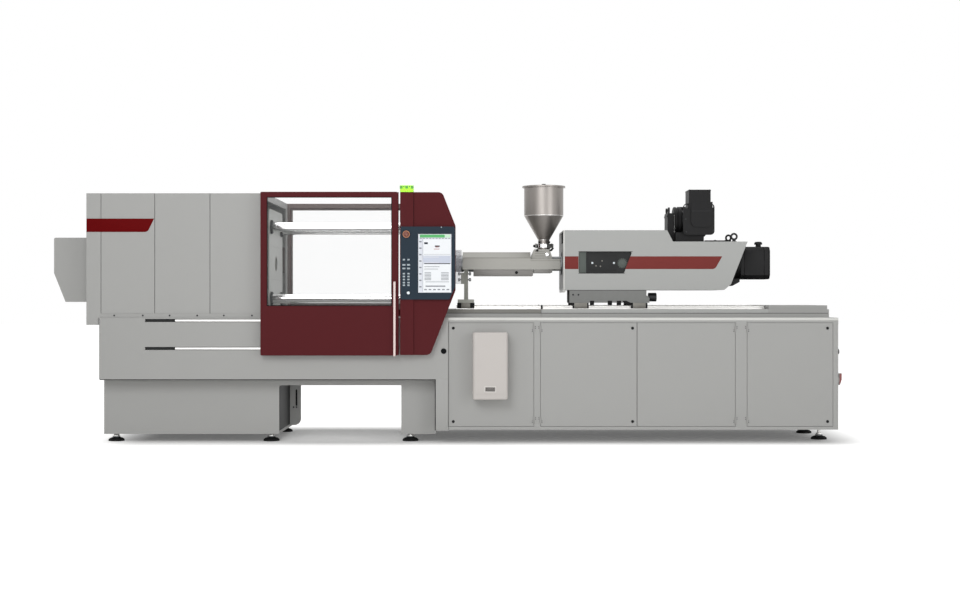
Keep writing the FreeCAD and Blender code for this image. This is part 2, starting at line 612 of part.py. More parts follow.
def cabinet_frame():
    """Welded cabinet: three open bays, door rebates, hinge pins and rear panel joints."""
    left, right = CABINET_X
    low, high = CABINET_Z
    body = box(left, right, -FRAME_HALF, FRAME_HALF, low, high)
    foot_plate = box(2932, 3180, -420, 420, 100, low)
    rebates = []
    z0, z1 = CABINET_DOOR_Z
    back = -FRAME_HALF + DOOR_SHEET + 0.5
    for first, last in ((0, 0), (1, 2), (3, 3)):
        x0, x1 = CABINET_DOORS[first][0] - DOOR_GAP, CABINET_DOORS[last][1] + DOOR_GAP
        rebates.append(box(x0, x1, -FRAME_HALF - 1, back, z0 - DOOR_GAP, z1 + DOOR_GAP))
        inner = box(x0 + 18, x1 - 18, -FRAME_HALF, FRAME_HALF - 40, z0 + 16, z1 - 16)
        rebates.append(rounded(inner, 12.0, V(0, 1, 0)))
    for x in (715.0, 1552.0, 2398.0):
        rebates.append(box(x - 2, x + 2, FRAME_HALF - 5, FRAME_HALF + 1, low + 20, high - 30))
    frame = cut(fuse([body, foot_plate]), rebates)
    post = box(1526, 1577, back, -FRAME_HALF + 70, z0 + 10, z1 - 10)
    halves = [hinge_half(n, level, False) for n in range(len(CABINET_DOORS)) for level in HINGE_LEVELS]
    return fuse([frame, post] + halves)


def cabinet_door(index):
    """Folded door leaf with a hollow back, a stiffening rib and two hinge knuckles."""
    x0, x1, _ = CABINET_DOORS[index]
    z0, z1 = CABINET_DOOR_Z
    leaf = box(x0, x1, -FRAME_HALF, -FRAME_HALF + DOOR_SHEET, z0, z1)
    leaf = rounded(leaf, 3.0, V(0, 1, 0))
    pocket = box(x0 + 22, x1 - 22, -FRAME_HALF + 3, -FRAME_HALF + DOOR_SHEET + 1, z0 + 22, z1 - 22)
    rib = box(x0 + 20, x1 - 20, -FRAME_HALF + 2, -FRAME_HALF + 14, 545, 575)
    return fuse([leaf.cut(pocket), rib] + [hinge_half(index, level, True) for level in HINGE_LEVELS])


def drive_modules():
    """Servo amplifiers in a row on the back wall of the middle bay."""
    modules = []
    for number in range(5):
        x = 860.0 + 120.0 * number
        body = box(x, x + 105, 380, FRAME_HALF - 40, 330, 760)
        fins = [box(x + 10 + 18 * n, x + 18 + 18 * n, 379, 395, 350, 740) for n in range(5)]
        modules.append(cut(body, fins))
    return group(modules)


def cooling_unit():
    """Enclosure cooler hung on the first door, rounded, with an outlet slot below."""
    x0, x1 = COOLER_X
    y0, y1 = COOLER_Y
    z0, z1 = COOLER_Z
    body = box(x0, x1, y0, y1, z0, z1)
    body = rounded(body, 26.0, V(0, 0, 1), lambda p: p.y < y0 + 1)
    straight = [e for e in body.Edges if e.Curve.TypeId == "Part::GeomLine"]
    front = [e for e in straight if abs(e.CenterOfMass.y - y0) < 1]
    level = [e for e in front if min(e.CenterOfMass.z - z0, z1 - e.CenterOfMass.z) < 1]
    body = body.makeChamfer(9.0, level)
    slot = box(318, 397, y0 - 1, y0 + 16, 432, 465)
    bars = [box(318, 397, y0 + 4, y0 + 17, 440 + 9 * n, 443 + 9 * n) for n in range(3)]
    band = box(x0 - 1, x1 + 1, y0 - 1, y0 + 3, z0 + 42, z0 + 46)
    return fuse([cut(body, [slot, band])] + bars)


def main_switch():
    """Rotary main switch handle on the right end of the cabinet."""
    start = CABINET_X[1]
    knob = rod_x(-645, 520, 30.0, start + 0.5, start + 16)
    base, tip = start + 15, start + 38
    outline = [(base, 568), (tip, 568), (tip, 520), (start + 20, 472), (base, 472)]
    return fuse([knob, plate_y(outline, -656, -634)])


def rail_bed():
    """Machined bed for the rails, with its long front groove and the end cover."""
    low, high = CABINET_Z[1], RAIL_BED_TOP
    bed = box(*RAIL_BED_X, -RAIL_BED_HALF, RAIL_BED_HALF, low, high)
    cover = rounded(box(2662, 3150, -470, 470, high, 1122), 8.0, V(0, 0, 1))
    grooves = both_sides(box(RAIL_BED_X[0] - 1, RAIL_BED_X[1] + 1, -501, -493, 1055, 1059))
    joint = both_sides(box(RAIL_BED_JOINT - 2, RAIL_BED_JOINT + 2, -501, -494, low, high + 1))
    trough = box(60, 2600, -180, 180, high - 40, high + 1)
    return cut(fuse([bed, cover]), grooves + joint + [trough])


def linear_rails():
    """Two profiled guide rails with waisted flanks."""
    rails = []
    base = RAIL_BED_TOP
    outline = [(-22.5, 0), (22.5, 0), (22.5, 9), (15, 14), (15, 19), (22.5, 24), (22.5, 31), (-22.5, 31)]
    outline += [(-22.5, 24), (-15, 19), (-15, 14), (-22.5, 9)]
    for y in (-RAIL_Y, RAIL_Y):
        points = [V(75, y + dy, base + dz) for dy, dz in outline]
        rails.append(Part.Face(Part.makePolygon(points + points[:1])).extrude(V(2581, 0, 0)))
    return group(rails)


# ---- injection unit ---------------------------------------------------------------
def bearing_block(x0, x1, y, top):
    """Runner block that wraps the head of one rail."""
    block = box(x0, x1, y - 38, y + 38, RAIL_BED_TOP + 6, top)
    head = box(x0 - 1, x1 + 1, y - RAIL_HALF - 0.4, y + RAIL_HALF + 0.4, RAIL_BED_TOP, RAIL_TOP + 0.4)
    return block.cut(head)


def carriage():
    """Cast slide on four runner blocks, with the drive cylinder at its right end."""
    left, right = CARRIAGE_X
    low, high = CARRIAGE_Z
    back = right - 25
    outline = [(left, high), (left, low), (right, low), (right, low + 40), (back, low + 62), (back, high)]
    step = box(left - 1, left + CARRIAGE_STEP, 0, UNIT_HALF + 1, low - 1, high + 1)
    parts = [cut(plate_y(outline, -UNIT_HALF, UNIT_HALF), [step])]
    for x0, x1 in ((1063.0, 1172.0), (1554.0, 1661.0)):
        parts += both_sides(bearing_block(x0, x1, RAIL_Y, low))
    profile = [(0, 0), (34, 0), (34, 40), (29, 46), (29, 70), (0, 70)]
    drive = turned(profile, V(right, -230, 1190), V(1, 0, 0))
    return fuse(parts + [drive])


def unit_outline(inset):
    """Side view of the injection unit's covers, drawn inwards by inset."""
    return [
        (UNIT_LEFT, UNIT_BOTTOM + inset - 3),
        (UNIT_LEFT, UNIT_TOP - inset),
        (1840 - inset * 0.6, UNIT_TOP - inset),
        (1889 - inset * 0.6, DECK - inset),
        (2513 - inset * 1.5, DECK - inset),
        (2373 - inset * 1.0, 1296 + inset * 0.4),
        (2318 - inset * 0.4, UNIT_BOTTOM + inset - 3),
    ]


def injection_side_covers():
    """Flat side covers; the front one has the window onto the pressure plate."""
    outer = plate_y(unit_outline(0.0), -UNIT_HALF, -UNIT_HALF + SHEET)
    outer = rounded(outer, 30.0, V(0, 1, 0), lambda p: p.x > 2300 and p.z < 1300)
    window = plate_y([(1100, 1391), (1481, 1391), (1548, 1569), (1100, 1569)], -341.0, -320.0)
    return group([outer.cut(rounded(window, 10.0, V(0, 1, 0))), mirrored_y(outer)])


def injection_cover_top():
    """Folded cover over the unit: roof, step, deck, slanted end and floor."""
    half = UNIT_HALF - SHEET
    outer = plate_y(unit_outline(0.0), -half, half)
    wall = 12.0
    inner = [(UNIT_LEFT - 5 if x == UNIT_LEFT else x, z) for x, z in unit_outline(wall)]
    hollow = plate_y(inner, -half, half)
    motor_hole = rod_x(0, AXIS_Z, 136.0, 2340, 2560)
    return cut(outer, [hollow, motor_hole])


def injection_frame():
    """Barrel end plate, two bulkheads and floor welded up, with the guide rods between them."""
    half, roof = UNIT_HALF - SHEET - 0.5, UNIT_TOP - SHEET
    plate = box(UNIT_LEFT + 3, UNIT_LEFT + 38, -half, half, UNIT_BOTTOM + 12, roof)
    floor = UNIT_BOTTOM + 9
    base = box(UNIT_LEFT + 3, REAR_BULKHEAD, -300, 300, floor, floor + 18)
    middle = box(1800, 1840, -300, 300, floor, 1640)
    rear = box(REAR_BULKHEAD - 35, REAR_BULKHEAD, -170, 170, floor, 1630)
    rods = [rod_x(y, AXIS_Z, GUIDE_ROD_R, UNIT_LEFT + 38, 1800) for y in (-GUIDE_ROD_Y, GUIDE_ROD_Y)]
    holes = [rod_x(0, AXIS_Z, BARREL_R, UNIT_LEFT, UNIT_LEFT + 41), rod_x(0, AXIS_Z, 70.0, 1790, 1850)]
    return group([cut(fuse([plate, base, middle, rear]), holes)] + rods)


def pressure_plate():
    """Plate that carries the screw, sliding on the guide rods."""
    plate = rounded(box(1240, 1400, -290, 290, 1310, 1640), 20.0, V(1, 0, 0))
    bearing = rod_x(0, AXIS_Z, 80.0, 1400, 1440)
    tube = rod_x(0, AXIS_Z, 60.0, 1440, 1720)
    bosses = both_sides(rod_y(1320, AXIS_Z, 55.0, -318, -290))
    rod_fit = GUIDE_ROD_R + RUNNING
    holes = [rod_x(y, AXIS_Z, rod_fit, 1239, 1401) for y in (-GUIDE_ROD_Y, GUIDE_ROD_Y)]
    holes.append(rod_x(0, AXIS_Z, 20.05, 1239, 1420))
    holes.append(rod_x(0, AXIS_Z, 44.0, 1440, 1721))
    return cut(fuse([plate, bearing, tube] + bosses), holes)


def plasticising_screw():
    """Screw with its tip, check ring, flight lands and drive shank."""
    tip = [(0, -205), (18, -165), (18, -150), (22, -150), (22, -120), (16, -118)]
    profile = list(tip)
    land, pitch, start = 7.0, 45.0, -100.0
    for number in range(22):
        x = start + pitch * number
        profile += [(15, x), (SCREW_FLIGHT_R, x), (SCREW_FLIGHT_R, x + land), (15, x + land)]
    profile += [(15, 920), (22, 925), (22, 1200), (20, 1205), (20, 1415), (0, 1415)]
    return turned(profile, V(0, 0, AXIS_Z), V(1, 0, 0))


def barrel():
    """Heated barrel with nozzle, feed opening and rear flange."""
    outer = [(5, -332), (12, -332), (30, -310), (30, -235), (50, -228), (50, -180), (BARREL_R, -174)]
    seat = UNIT_LEFT + 3  # flange against the end plate
    outer += [(BARREL_R, seat - 12), (96, seat - 12), (96, seat), (BARREL_R, seat), (BARREL_R, 1060)]
    inner = [(BARREL_BORE, 1060), (BARREL_BORE, -160), (5, -215)]
    body = turned(outer + inner, V(0, 0, AXIS_Z), V(1, 0, 0))
    body = body.cut(rod_z(HOPPER_X, 0, 30.0, AXIS_Z, AXIS_Z + BARREL_R + 5))
    bands = []
    for x in range(-60, 600, 115):
        ring = rod_x(0, AXIS_Z, BARREL_R + 9, x, x + 95).cut(rod_x(0, AXIS_Z, BARREL_R, x - 1, x + 96))
        gap = box(x - 1, x + 96, -4, 4, AXIS_Z - BARREL_R - 12, AXIS_Z)
        bands.append(ring.cut(gap))
    support_x = (139.0, 173.0)
    clear = rod_x(0, AXIS_Z, 90.0, support_x[0] - 4, support_x[1] + 4)
    clear = clear.cut(rod_x(0, AXIS_Z, BARREL_R, support_x[0] - 5, support_x[1] + 5))
    return fuse([body] + [band.cut(clear) for band in bands])


def barrel_guard():
    """Sheet guard over the barrel: chamfered in front, lower at the feed block."""
    wall = 5.0

    def profile(inset, roof):
        half, low = 150.0 - inset, 1425.0
        if roof:
            shoulder, top = 1526.0, 1573.0 - inset
            left = [(-half, low), (-half, shoulder), (-103, top)]
            return left + [(103, top), (half, shoulder), (half, low)]
        top = 1514.0 - inset
        return [(-half, low), (-half, top), (half, top), (half, low)]

    def section(x0, x1, roof):
        shapes = []
        for inset, drop in ((0.0, 0.0), (wall, 1.0)):
            points = [V(x0, y, z - (drop if z < 1430 else 0.0)) for y, z in profile(inset, roof)]
            shapes.append(Part.Face(Part.makePolygon(points + points[:1])).extrude(V(x1 - x0, 0, 0)))
        return shapes[0].cut(shapes[1])

    front = section(127.0, 704.0, True)
    back = section(704.0, 958.0, False)
    divider = box(699, 704, -149, 149, 1510, 1570)
    skirts = both_sides(box(219, 725, -145, -139, 1371, 1430))
    skirts += both_sides(box(733, 888, -145, -139, 1397, 1430))
    saddle = box(701, 900, -92, 92, 1490, 1530)
    barrel_slot = rod_x(0, AXIS_Z, BARREL_R + 2, 698, 959)
    parts = fuse([front, back] + skirts + [cut(divider, [box(698, 705, -64, 64, 1500, 1542)])])
    return cut(parts, [saddle, barrel_slot])


def barrel_support():
    """Cross beam with its own runners, and the post bolted on it whose ring carries the barrel."""
    base = box(88, 223, -UNIT_HALF, UNIT_HALF, 1143, 1171)
    runners = both_sides(bearing_block(93.0, 218.0, RAIL_Y, 1143))
    column = box(139, 173, -58, 58, 1171, 1440)
    ribs = both_sides(box(139, 173, -90, -58, 1171, 1210))
    ring = rod_x(0, AXIS_Z, 80.0, 139, 173)
    end_plate = box(112, 139, -70, 70, 1304, 1400)
    beam = fuse([base] + runners)
    post = fuse([column, ring, end_plate] + ribs)
    return group([beam, cut(post, [rod_x(0, AXIS_Z, BARREL_R, 100, 174)])])


def feed_throat():
    """Water-cooled feed block with sloping flanks, saddled on the barrel."""
    outline = [(708, AXIS_Z), (708, 1533), (738, FEED_TOP), (868, FEED_TOP), (890, 1533), (890, AXIS_Z)]
    block = plate_y(outline, -90, 90)
    tools = [rod_x(0, AXIS_Z, BARREL_R, 700, 900), rod_z(HOPPER_X, 0, 30.0, AXIS_Z, FEED_TOP + 1)]
    return cut(block, tools)


def hopper():
    """Thin stainless hopper: gate flange, neck, cone, cylinder and rolled rim."""
    wall = 4.0
    outer = [(30, FEED_TOP), (54, FEED_TOP), (54, 1612), (82, 1612), (82, 1646), (HOPPER_THROAT, 1646)]
    outer += [(HOPPER_THROAT, 1681), (HOPPER_R, 1887), (HOPPER_R, 2126), (185, 2128), (185, 2136)]
    inner = [(HOPPER_R - wall, 2136), (HOPPER_R - wall, 1888), (HOPPER_THROAT - wall, 1683), (30, 1650)]
    return turned(outer + inner, V(HOPPER_X, 0, 0), V(0, 0, 1))


def hopper_lid():
    """Loose dished lid with a central knob."""
    profile = [(0, 2128), (158, 2128), (158, 2136.3), (183, 2136.3), (183, 2141), (150, 2145), (20, 2148)]
    profile += [(12, 2154), (18, 2161), (0, 2162)]
    return turned(profile, V(HOPPER_X, 0, 0), V(0, 0, 1))


def motor_end_plate(y0, y1):
    """Square end plate of the screw motor with rounded corners and two lifting holes."""
    x, z = TOP_MOTOR_X, TOP_MOTOR_Z
    half = TOP_MOTOR_HALF
    plate = rounded(box(x - half, x + half, y0, y1, z - half, z + half), 33.0, V(0, 1, 0))
    return cut(plate, [rod_y(x + side * 107, z + 107, 15.0, y0 - 1, y1 + 1) for side in (-1, 1)])


def top_motor():
    """Screw motor lying across the deck, its gear case, terminal box, front cover and foot."""
    x, z = TOP_MOTOR_X, TOP_MOTOR_Z
    front, rear = TOP_MOTOR_Y
    profile = [(0, 0), (128, 0), (128, 30)]
    for number in range(6):
        start = 60.0 + 66.0 * number
        profile += [(128, start), (120, start + 8), (120, start + 26), (128, start + 34)]
    profile += [(128, rear - front - 30), (128, rear - front - 28), (0, rear - front - 28)]
    body = turned(profile, V(x, front + 14, z), V(0, 1, 0))
    plates = [motor_end_plate(front, front + 14), motor_end_plate(rear - 14, rear)]
    terminal = rounded(box(2033, 2217, front - 8, -30, z + 90, 2093), 6.0, V(0, 0, 1))
    cover = box(2051, 2232, front - 12, front, 1780, z + 145)
    cover = rounded(cover, 50.0, V(0, 1, 0), lambda p: p.z < z)
    outline = [(1871, 1906), (1929, 1906), (1929, DECK), (1892, DECK), (1871, 1695)]
    case = rounded(plate_y(outline, -108, 108), 12.0, V(1, 0, 0), lambda p: p.z > z)
    adapter = rod_x(0, z - 20, 70.0, 1929, x - 100)
    foot = box(1929, 2167, -200, 200, DECK, z - 110)
    eyes = []
    for y in (-80.0, 80.0):
        eye = fuse([rod_x(y, 1932, 24.0, 1878, 1892), box(1878, 1892, y - 14, y + 14, 1905, 1920)])
        eyes.append(eye.cut(rod_x(y, 1932, 12.0, 1877, 1893)))
    return fuse([body, terminal, cover, case, adapter, foot] + plates + eyes)


def rear_motor():
    """Round injection motor on its bulkhead, with the angled connector."""
    profile = [(0, 0), (120, 0), (120, 30), (133, 40), (133, 412)]
    profile += [(129, 424), (116, 434), (70, 441), (0, 441)]
    motor = turned(profile, V(REAR_BULKHEAD, 0, AXIS_Z), V(1, 0, 0))
    stalk = rod_z(2662, 0, 22.0, AXIS_Z + 100, 1645)
    head = turned([(0, 0), (34, 0), (34, 14), (24, 24), (0, 26)], V(2662, 0, 1641), V(0, 0, 1))
    return fuse([motor, stalk, head])


def purge_guard():
    """Clear hood over the nozzle with a front skirt, hinged along its upper rear edge."""
    x0, x1 = PURGE_X
    low, high = PURGE_Z
    half = PURGE_Y - 6.0
    shell = box(x0, x1, -half, half, low, high)
    shell = rounded(shell, 20.0, V(1, 0, 0), lambda p: p.z > high - 1 and p.y < 0)
    inside = box(x0 - 1, x1 + 1, -half + PURGE_WALL, half - PURGE_WALL, low - 1, high - PURGE_WALL)
    inside = rounded(inside, 15.0, V(1, 0, 0), lambda p: p.z > high - PURGE_WALL - 1 and p.y < 0)
    behind = box(x0 - 1, x1 + 1, 0, half + 1, low - 1, high - PURGE_APRON)
    knuckle = rod_x(PURGE_Y, high, 11.0, x0, x0 + 60)
    bore = rod_x(PURGE_Y, high, 6.0, x0 - 1, x0 + 61)
    return cut(fuse([cut(shell, [inside, behind]), knuckle]), [bore])


# ---- nodes ------------------------------------------------------------------------
def nodes():
    """Every node's name with its shape."""
    made = {
        "machine_bed": machine_bed(),
        "pedestals": group([pedestal_left(), pedestal_right()]),
        "levelling_feet": levelling_feet(),
        "clamp_side_covers": group(both_sides(clamp_cover_front())),
        "clamp_cover_top": clamp_cover_top(),
        "clamp_end_covers": group([clamp_cover_end(), end_hood()]),
        "end_platen": end_platen(),
        "fixed_platen": fixed_platen(),
        "moving_platen": moving_platen(),
        "tie_bars": tie_bars(),
        "tie_bar_nuts": tie_bar_nuts(),
        "toggle_rear_link_upper": toggle_rear_link(1),
        "toggle_rear_link_lower": toggle_rear_link(-1),
        "toggle_front_link_upper": toggle_front_link(1),
        "toggle_front_link_lower": toggle_front_link(-1),
        "crosshead": crosshead(),
        "crosshead_link_upper": crosshead_link(1),
        "crosshead_link_lower": crosshead_link(-1),
        "clamp_ball_screw": clamp_ball_screw(),
        "clamp_motor": clamp_motor(),
        "ejector_rod": ejector_rod(),
        "door_rails": door_rails(),
        "door_front_frame": door_frame(),
        "door_front_pane": door_pane(),
        "door_front_handle": door_handle(),
        "door_rear_frame": door_rear(),
        "door_rear_pane": mirrored_y(door_pane()),
        "door_rear_handle": mirrored_y(door_handle()),
        "guard_post_rear": guard_post_rear(),
        "control_column": control_column(),
        "control_panel": control_panel(),
        "touch_screen": touch_screen(),
        "signal_lamp": signal_lamp(),
        "emergency_stop": emergency_stop(),
        "start_button": start_button(),
        "cabinet_frame": cabinet_frame(),
        "drive_modules": drive_modules(),
        "cooling_unit": cooling_unit(),
        "main_switch": main_switch(),
        "rail_bed": rail_bed(),
        "linear_rails": linear_rails(),
        "carriage": carriage(),
        "injection_frame": injection_frame(),
        "injection_side_covers": injection_side_covers(),
        "injection_cover_top": injection_cover_top(),
        "pressure_plate": pressure_plate(),
        "plasticising_screw": plasticising_screw(),
        "barrel": barrel(),
        "barrel_guard": barrel_guard(),
        "barrel_support": barrel_support(),
        "feed_throat": feed_throat(),
        "hopper": hopper(),
        "hopper_lid": hopper_lid(),
        "top_motor": top_motor(),
        "rear_motor": rear_motor(),
        "purge_guard": purge_guard(),
    }
    for index in range(len(CABINET_DOORS)):
        made["cabinet_door_%d" % (index + 1)] = cabinet_door(index)
    return made


os.makedirs("parts", exist_ok=True)
for name, shape in nodes().items():
    shape.exportStep("parts/%s.step" % name)
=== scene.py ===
"""Looks of a horizontal injection moulding machine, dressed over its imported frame.

Metres, +X from the clamp to the injection unit, -Y the operator's side, +Z up, floor at 0.
"""

from __future__ import annotations

import json
import logging
import math
from dataclasses import dataclass
from enum import Enum
from typing import Iterable, Sequence

import bmesh
import bpy
from mathutils import Matrix, Vector

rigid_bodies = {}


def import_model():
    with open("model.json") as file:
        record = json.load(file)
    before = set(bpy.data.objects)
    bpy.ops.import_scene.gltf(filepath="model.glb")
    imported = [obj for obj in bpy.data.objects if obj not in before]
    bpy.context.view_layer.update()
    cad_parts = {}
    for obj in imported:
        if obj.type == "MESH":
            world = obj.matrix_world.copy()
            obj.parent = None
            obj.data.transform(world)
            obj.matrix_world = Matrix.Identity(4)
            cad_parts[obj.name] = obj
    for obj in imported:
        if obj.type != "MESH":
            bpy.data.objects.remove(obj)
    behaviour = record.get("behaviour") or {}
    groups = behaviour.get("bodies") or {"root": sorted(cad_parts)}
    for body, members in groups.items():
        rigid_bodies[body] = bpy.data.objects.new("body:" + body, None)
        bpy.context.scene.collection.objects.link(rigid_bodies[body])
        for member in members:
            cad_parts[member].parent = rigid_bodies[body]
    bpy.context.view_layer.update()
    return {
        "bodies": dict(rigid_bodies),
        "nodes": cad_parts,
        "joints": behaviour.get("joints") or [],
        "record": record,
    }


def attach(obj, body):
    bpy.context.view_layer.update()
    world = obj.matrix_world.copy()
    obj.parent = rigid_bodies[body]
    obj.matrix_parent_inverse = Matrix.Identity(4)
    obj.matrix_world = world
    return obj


LOG = logging.getLogger("machine")

Point = tuple[float, float, float]
Outline = Sequence[tuple[float, float]]
Box = tuple[float, float, float, float, float, float]  # x, y and z, each from and to
Thing = bpy.types.Object
Tree = bpy.types.NodeTree
Socket = bpy.types.NodeSocket
Link = dict[str | int, Socket]

AXIS_Z = 1.477  # height of the screw and the clamp axis
HOPPER_X = 0.822  # upright axis of the hopper
FRONT = -0.7  # front plane of the cabinet and the clamp covers
FASCIA = -0.72  # front plane of the bed
SIDES = ((-1, "front"), (1, "rear"))  # sign of y and name of each side
CREASE = math.radians(25)  # edges over this angle are softened
SMOOTH = math.radians(32)  # edges under this angle shade smooth
BEVEL_STEPS = 2  # rows of faces in a softened edge
RING_SEGMENTS = 40  # facets round an open ring
HEAD_SEGMENTS = 24  # facets round a screw head
CROWN = (0.86, 0.12)  # a head's eased top: upper radius and height, as shares of its radius
GLOSS_SPREAD = 0.05  # how far the roughness wanders either way


class Body(Enum):
    """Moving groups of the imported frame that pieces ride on."""

    FRAME = "frame"
    PLATEN = "moving_platen"
    FRONT_DOOR = "front_door"
    REAR_DOOR = "rear_door"
    UNIT = "injection_unit"
    SWITCH = "main_switch"
    LID = "hopper_lid"
    DOOR_1 = "cabinet_door_1"
    DOOR_2 = "cabinet_door_2"
    DOOR_3 = "cabinet_door_3"
    DOOR_4 = "cabinet_door_4"


class Axis(Enum):
    """Directions that a turned or extruded form is built along."""

    X = Vector((1.0, 0.0, 0.0))
    Y = Vector((0.0, 1.0, 0.0))
    Z = Vector((0.0, 0.0, 1.0))
    FRONT = Vector((0.0, -1.0, 0.0))
    LEFT = Vector((-1.0, 0.0, 0.0))
    SKEW = Vector((-0.62, -0.78, 0.0))

    @classmethod
    def out(cls, side: int) -> Axis:
        """Direction that looks away from the machine on one side."""
        return cls.FRONT if side < 0 else cls.Y


# ---- colour and node helpers ----


def linear(colour: str) -> tuple[float, float, float, float]:
    """Linear RGBA of an sRGB colour written as six hex digits after a hash."""
    parts = [int(colour[i : i + 2], 16) / 255.0 for i in (1, 3, 5)]
    red, green, blue = (c / 12.92 if c <= 0.04045 else ((c + 0.055) / 1.055) ** 2.4 for c in parts)
    return red, green, blue, 1.0


def shifted(colour: str, factor: float) -> tuple[float, float, float, float]:
    """Linear RGBA of a hex colour, lighter or darker by a factor."""
    red, green, blue, alpha = linear(colour)
    return min(red * factor, 1.0), min(green * factor, 1.0), min(blue * factor, 1.0), alpha


def add(tree: Tree, kind: str, links: Link | None = None, **settings: object) -> bpy.types.Node:
    """Add one node, set its properties and inputs, and link sockets into it.

    Args:
        tree: the node tree that takes the node.
        kind: the node's type name.
        links: input name or index to the output socket that feeds it.
        settings: node properties, or input values written as in_NAME with _ for spaces.

    Returns:
        The new node.
    """
    node = tree.nodes.new(kind)
    for key, value in settings.items():
        if key.startswith("in_"):
            node.inputs[key[3:].replace("_", " ")].default_value = value
        else:
            setattr(node, key, value)
    for key, socket in (links or {}).items():
        tree.links.new(socket, node.inputs[key])
    return node


def blank(owner: bpy.types.Material | bpy.types.World) -> Tree:
    """Empty node tree of a material or a world."""
    owner.use_nodes = True
    owner.node_tree.nodes.clear()
    return owner.node_tree


def blend(tree: Tree, factor: Socket, first: Sequence[float],
          second: Sequence[float]) -> Socket:
    """Colour that goes from the first to the second with a factor."""
    mix = add(tree, "ShaderNodeMix", {0: factor}, data_type="RGBA")
    mix.inputs[6].default_value, mix.inputs[7].default_value = first, second
    return mix.outputs[2]


@dataclass(frozen=True)
class Finish:
    """One real surface: base colour, gloss, and the detail that the eye meets close up.

    Args:
        name: the real material.
        colour: sRGB hex of the surface.
        roughness: mean roughness.
        metallic: 1 for bare metal.
        grain: size in millimetres of the fine bump.
        bump: height of the fine bump in micrometres.
        stretch: how far the grain is drawn out along X, Y and Z.
        patch: size in metres of the slow change in tone.
        tone: strength of that change, 0.05 being five percent.
        alpha: below 1 for clear sheets.
        glow: emission strength in the base colour.
        shine: specular level, 0.5 being plain plastic; matt coatings have less.
    """

    name: str
    colour: str
    roughness: float = 0.5
    metallic: float = 0.0
    grain: float = 1.5
    bump: float = 12.0
    stretch: Point = (1.0, 1.0, 1.0)
    patch: float = 0.6
    tone: float = 0.03
    alpha: float = 1.0
    glow: float = 0.0
    shine: float = 0.5

    def material(self) -> bpy.types.Material:
        """Return the Blender material, building it on first use."""
        known = bpy.data.materials.get(self.name)
        if known is not None:
            return known
        made = bpy.data.materials.new(self.name)
        tree = blank(made)
        where = add(tree, "ShaderNodeTexCoord").outputs["Object"]
        slow = add(tree, "ShaderNodeTexNoise", {"Vector": where},
                   in_Scale=1.0 / self.patch, in_Detail=3.0, in_Roughness=0.55).outputs["Fac"]
        tint = blend(tree, slow, shifted(self.colour, 1.0 - self.tone), shifted(self.colour, 1.0 + self.tone))
        drawn = add(tree, "ShaderNodeMapping", {"Vector": where}, in_Scale=[1.0 / s for s in self.stretch])
        fine = add(tree, "ShaderNodeTexNoise", {"Vector": drawn.outputs["Vector"]},
                   in_Scale=1000.0 / self.grain, in_Detail=2.0)
        smooth, dull = max(self.roughness - GLOSS_SPREAD, 0.02), min(self.roughness + GLOSS_SPREAD, 1.0)
        gloss = add(tree, "ShaderNodeMapRange", {"Value": slow}, in_To_Min=smooth, in_To_Max=dull)
        relief = add(tree, "ShaderNodeBump", {"Height": fine.outputs["Fac"]},
                     in_Strength=1.0, in_Distance=self.bump * 1e-6)
        shader = add(
            tree,
            "ShaderNodeBsdfPrincipled",
            {"Base Color": tint, "Roughness": gloss.outputs["Result"], "Normal": relief.outputs["Normal"]},
            in_Metallic=self.metallic,
            in_Alpha=self.alpha,
            in_Emission_Strength=self.glow,
            in_Specular_IOR_Level=self.shine,
        )
        if self.glow:
            shader.inputs["Emission Color"].default_value = linear(self.colour)
        add(tree, "ShaderNodeOutputMaterial", {"Surface": shader.outputs["BSDF"]})
        return made


# Surface structure that several finishes share.
POWDER = {"grain": 2.2, "bump": 18, "tone": 0.02, "shine": 0.3}
ENAMEL = {"grain": 6.0, "bump": 60}
BRUSHED = {"grain": 0.5, "bump": 3, "stretch": (20, 1, 1), "tone": 0.03}
VINYL = {"grain": 0.8, "bump": 3, "tone": 0.03}
PIXELS = {"roughness": 0.3, "bump": 0.2, "shine": 0.1}


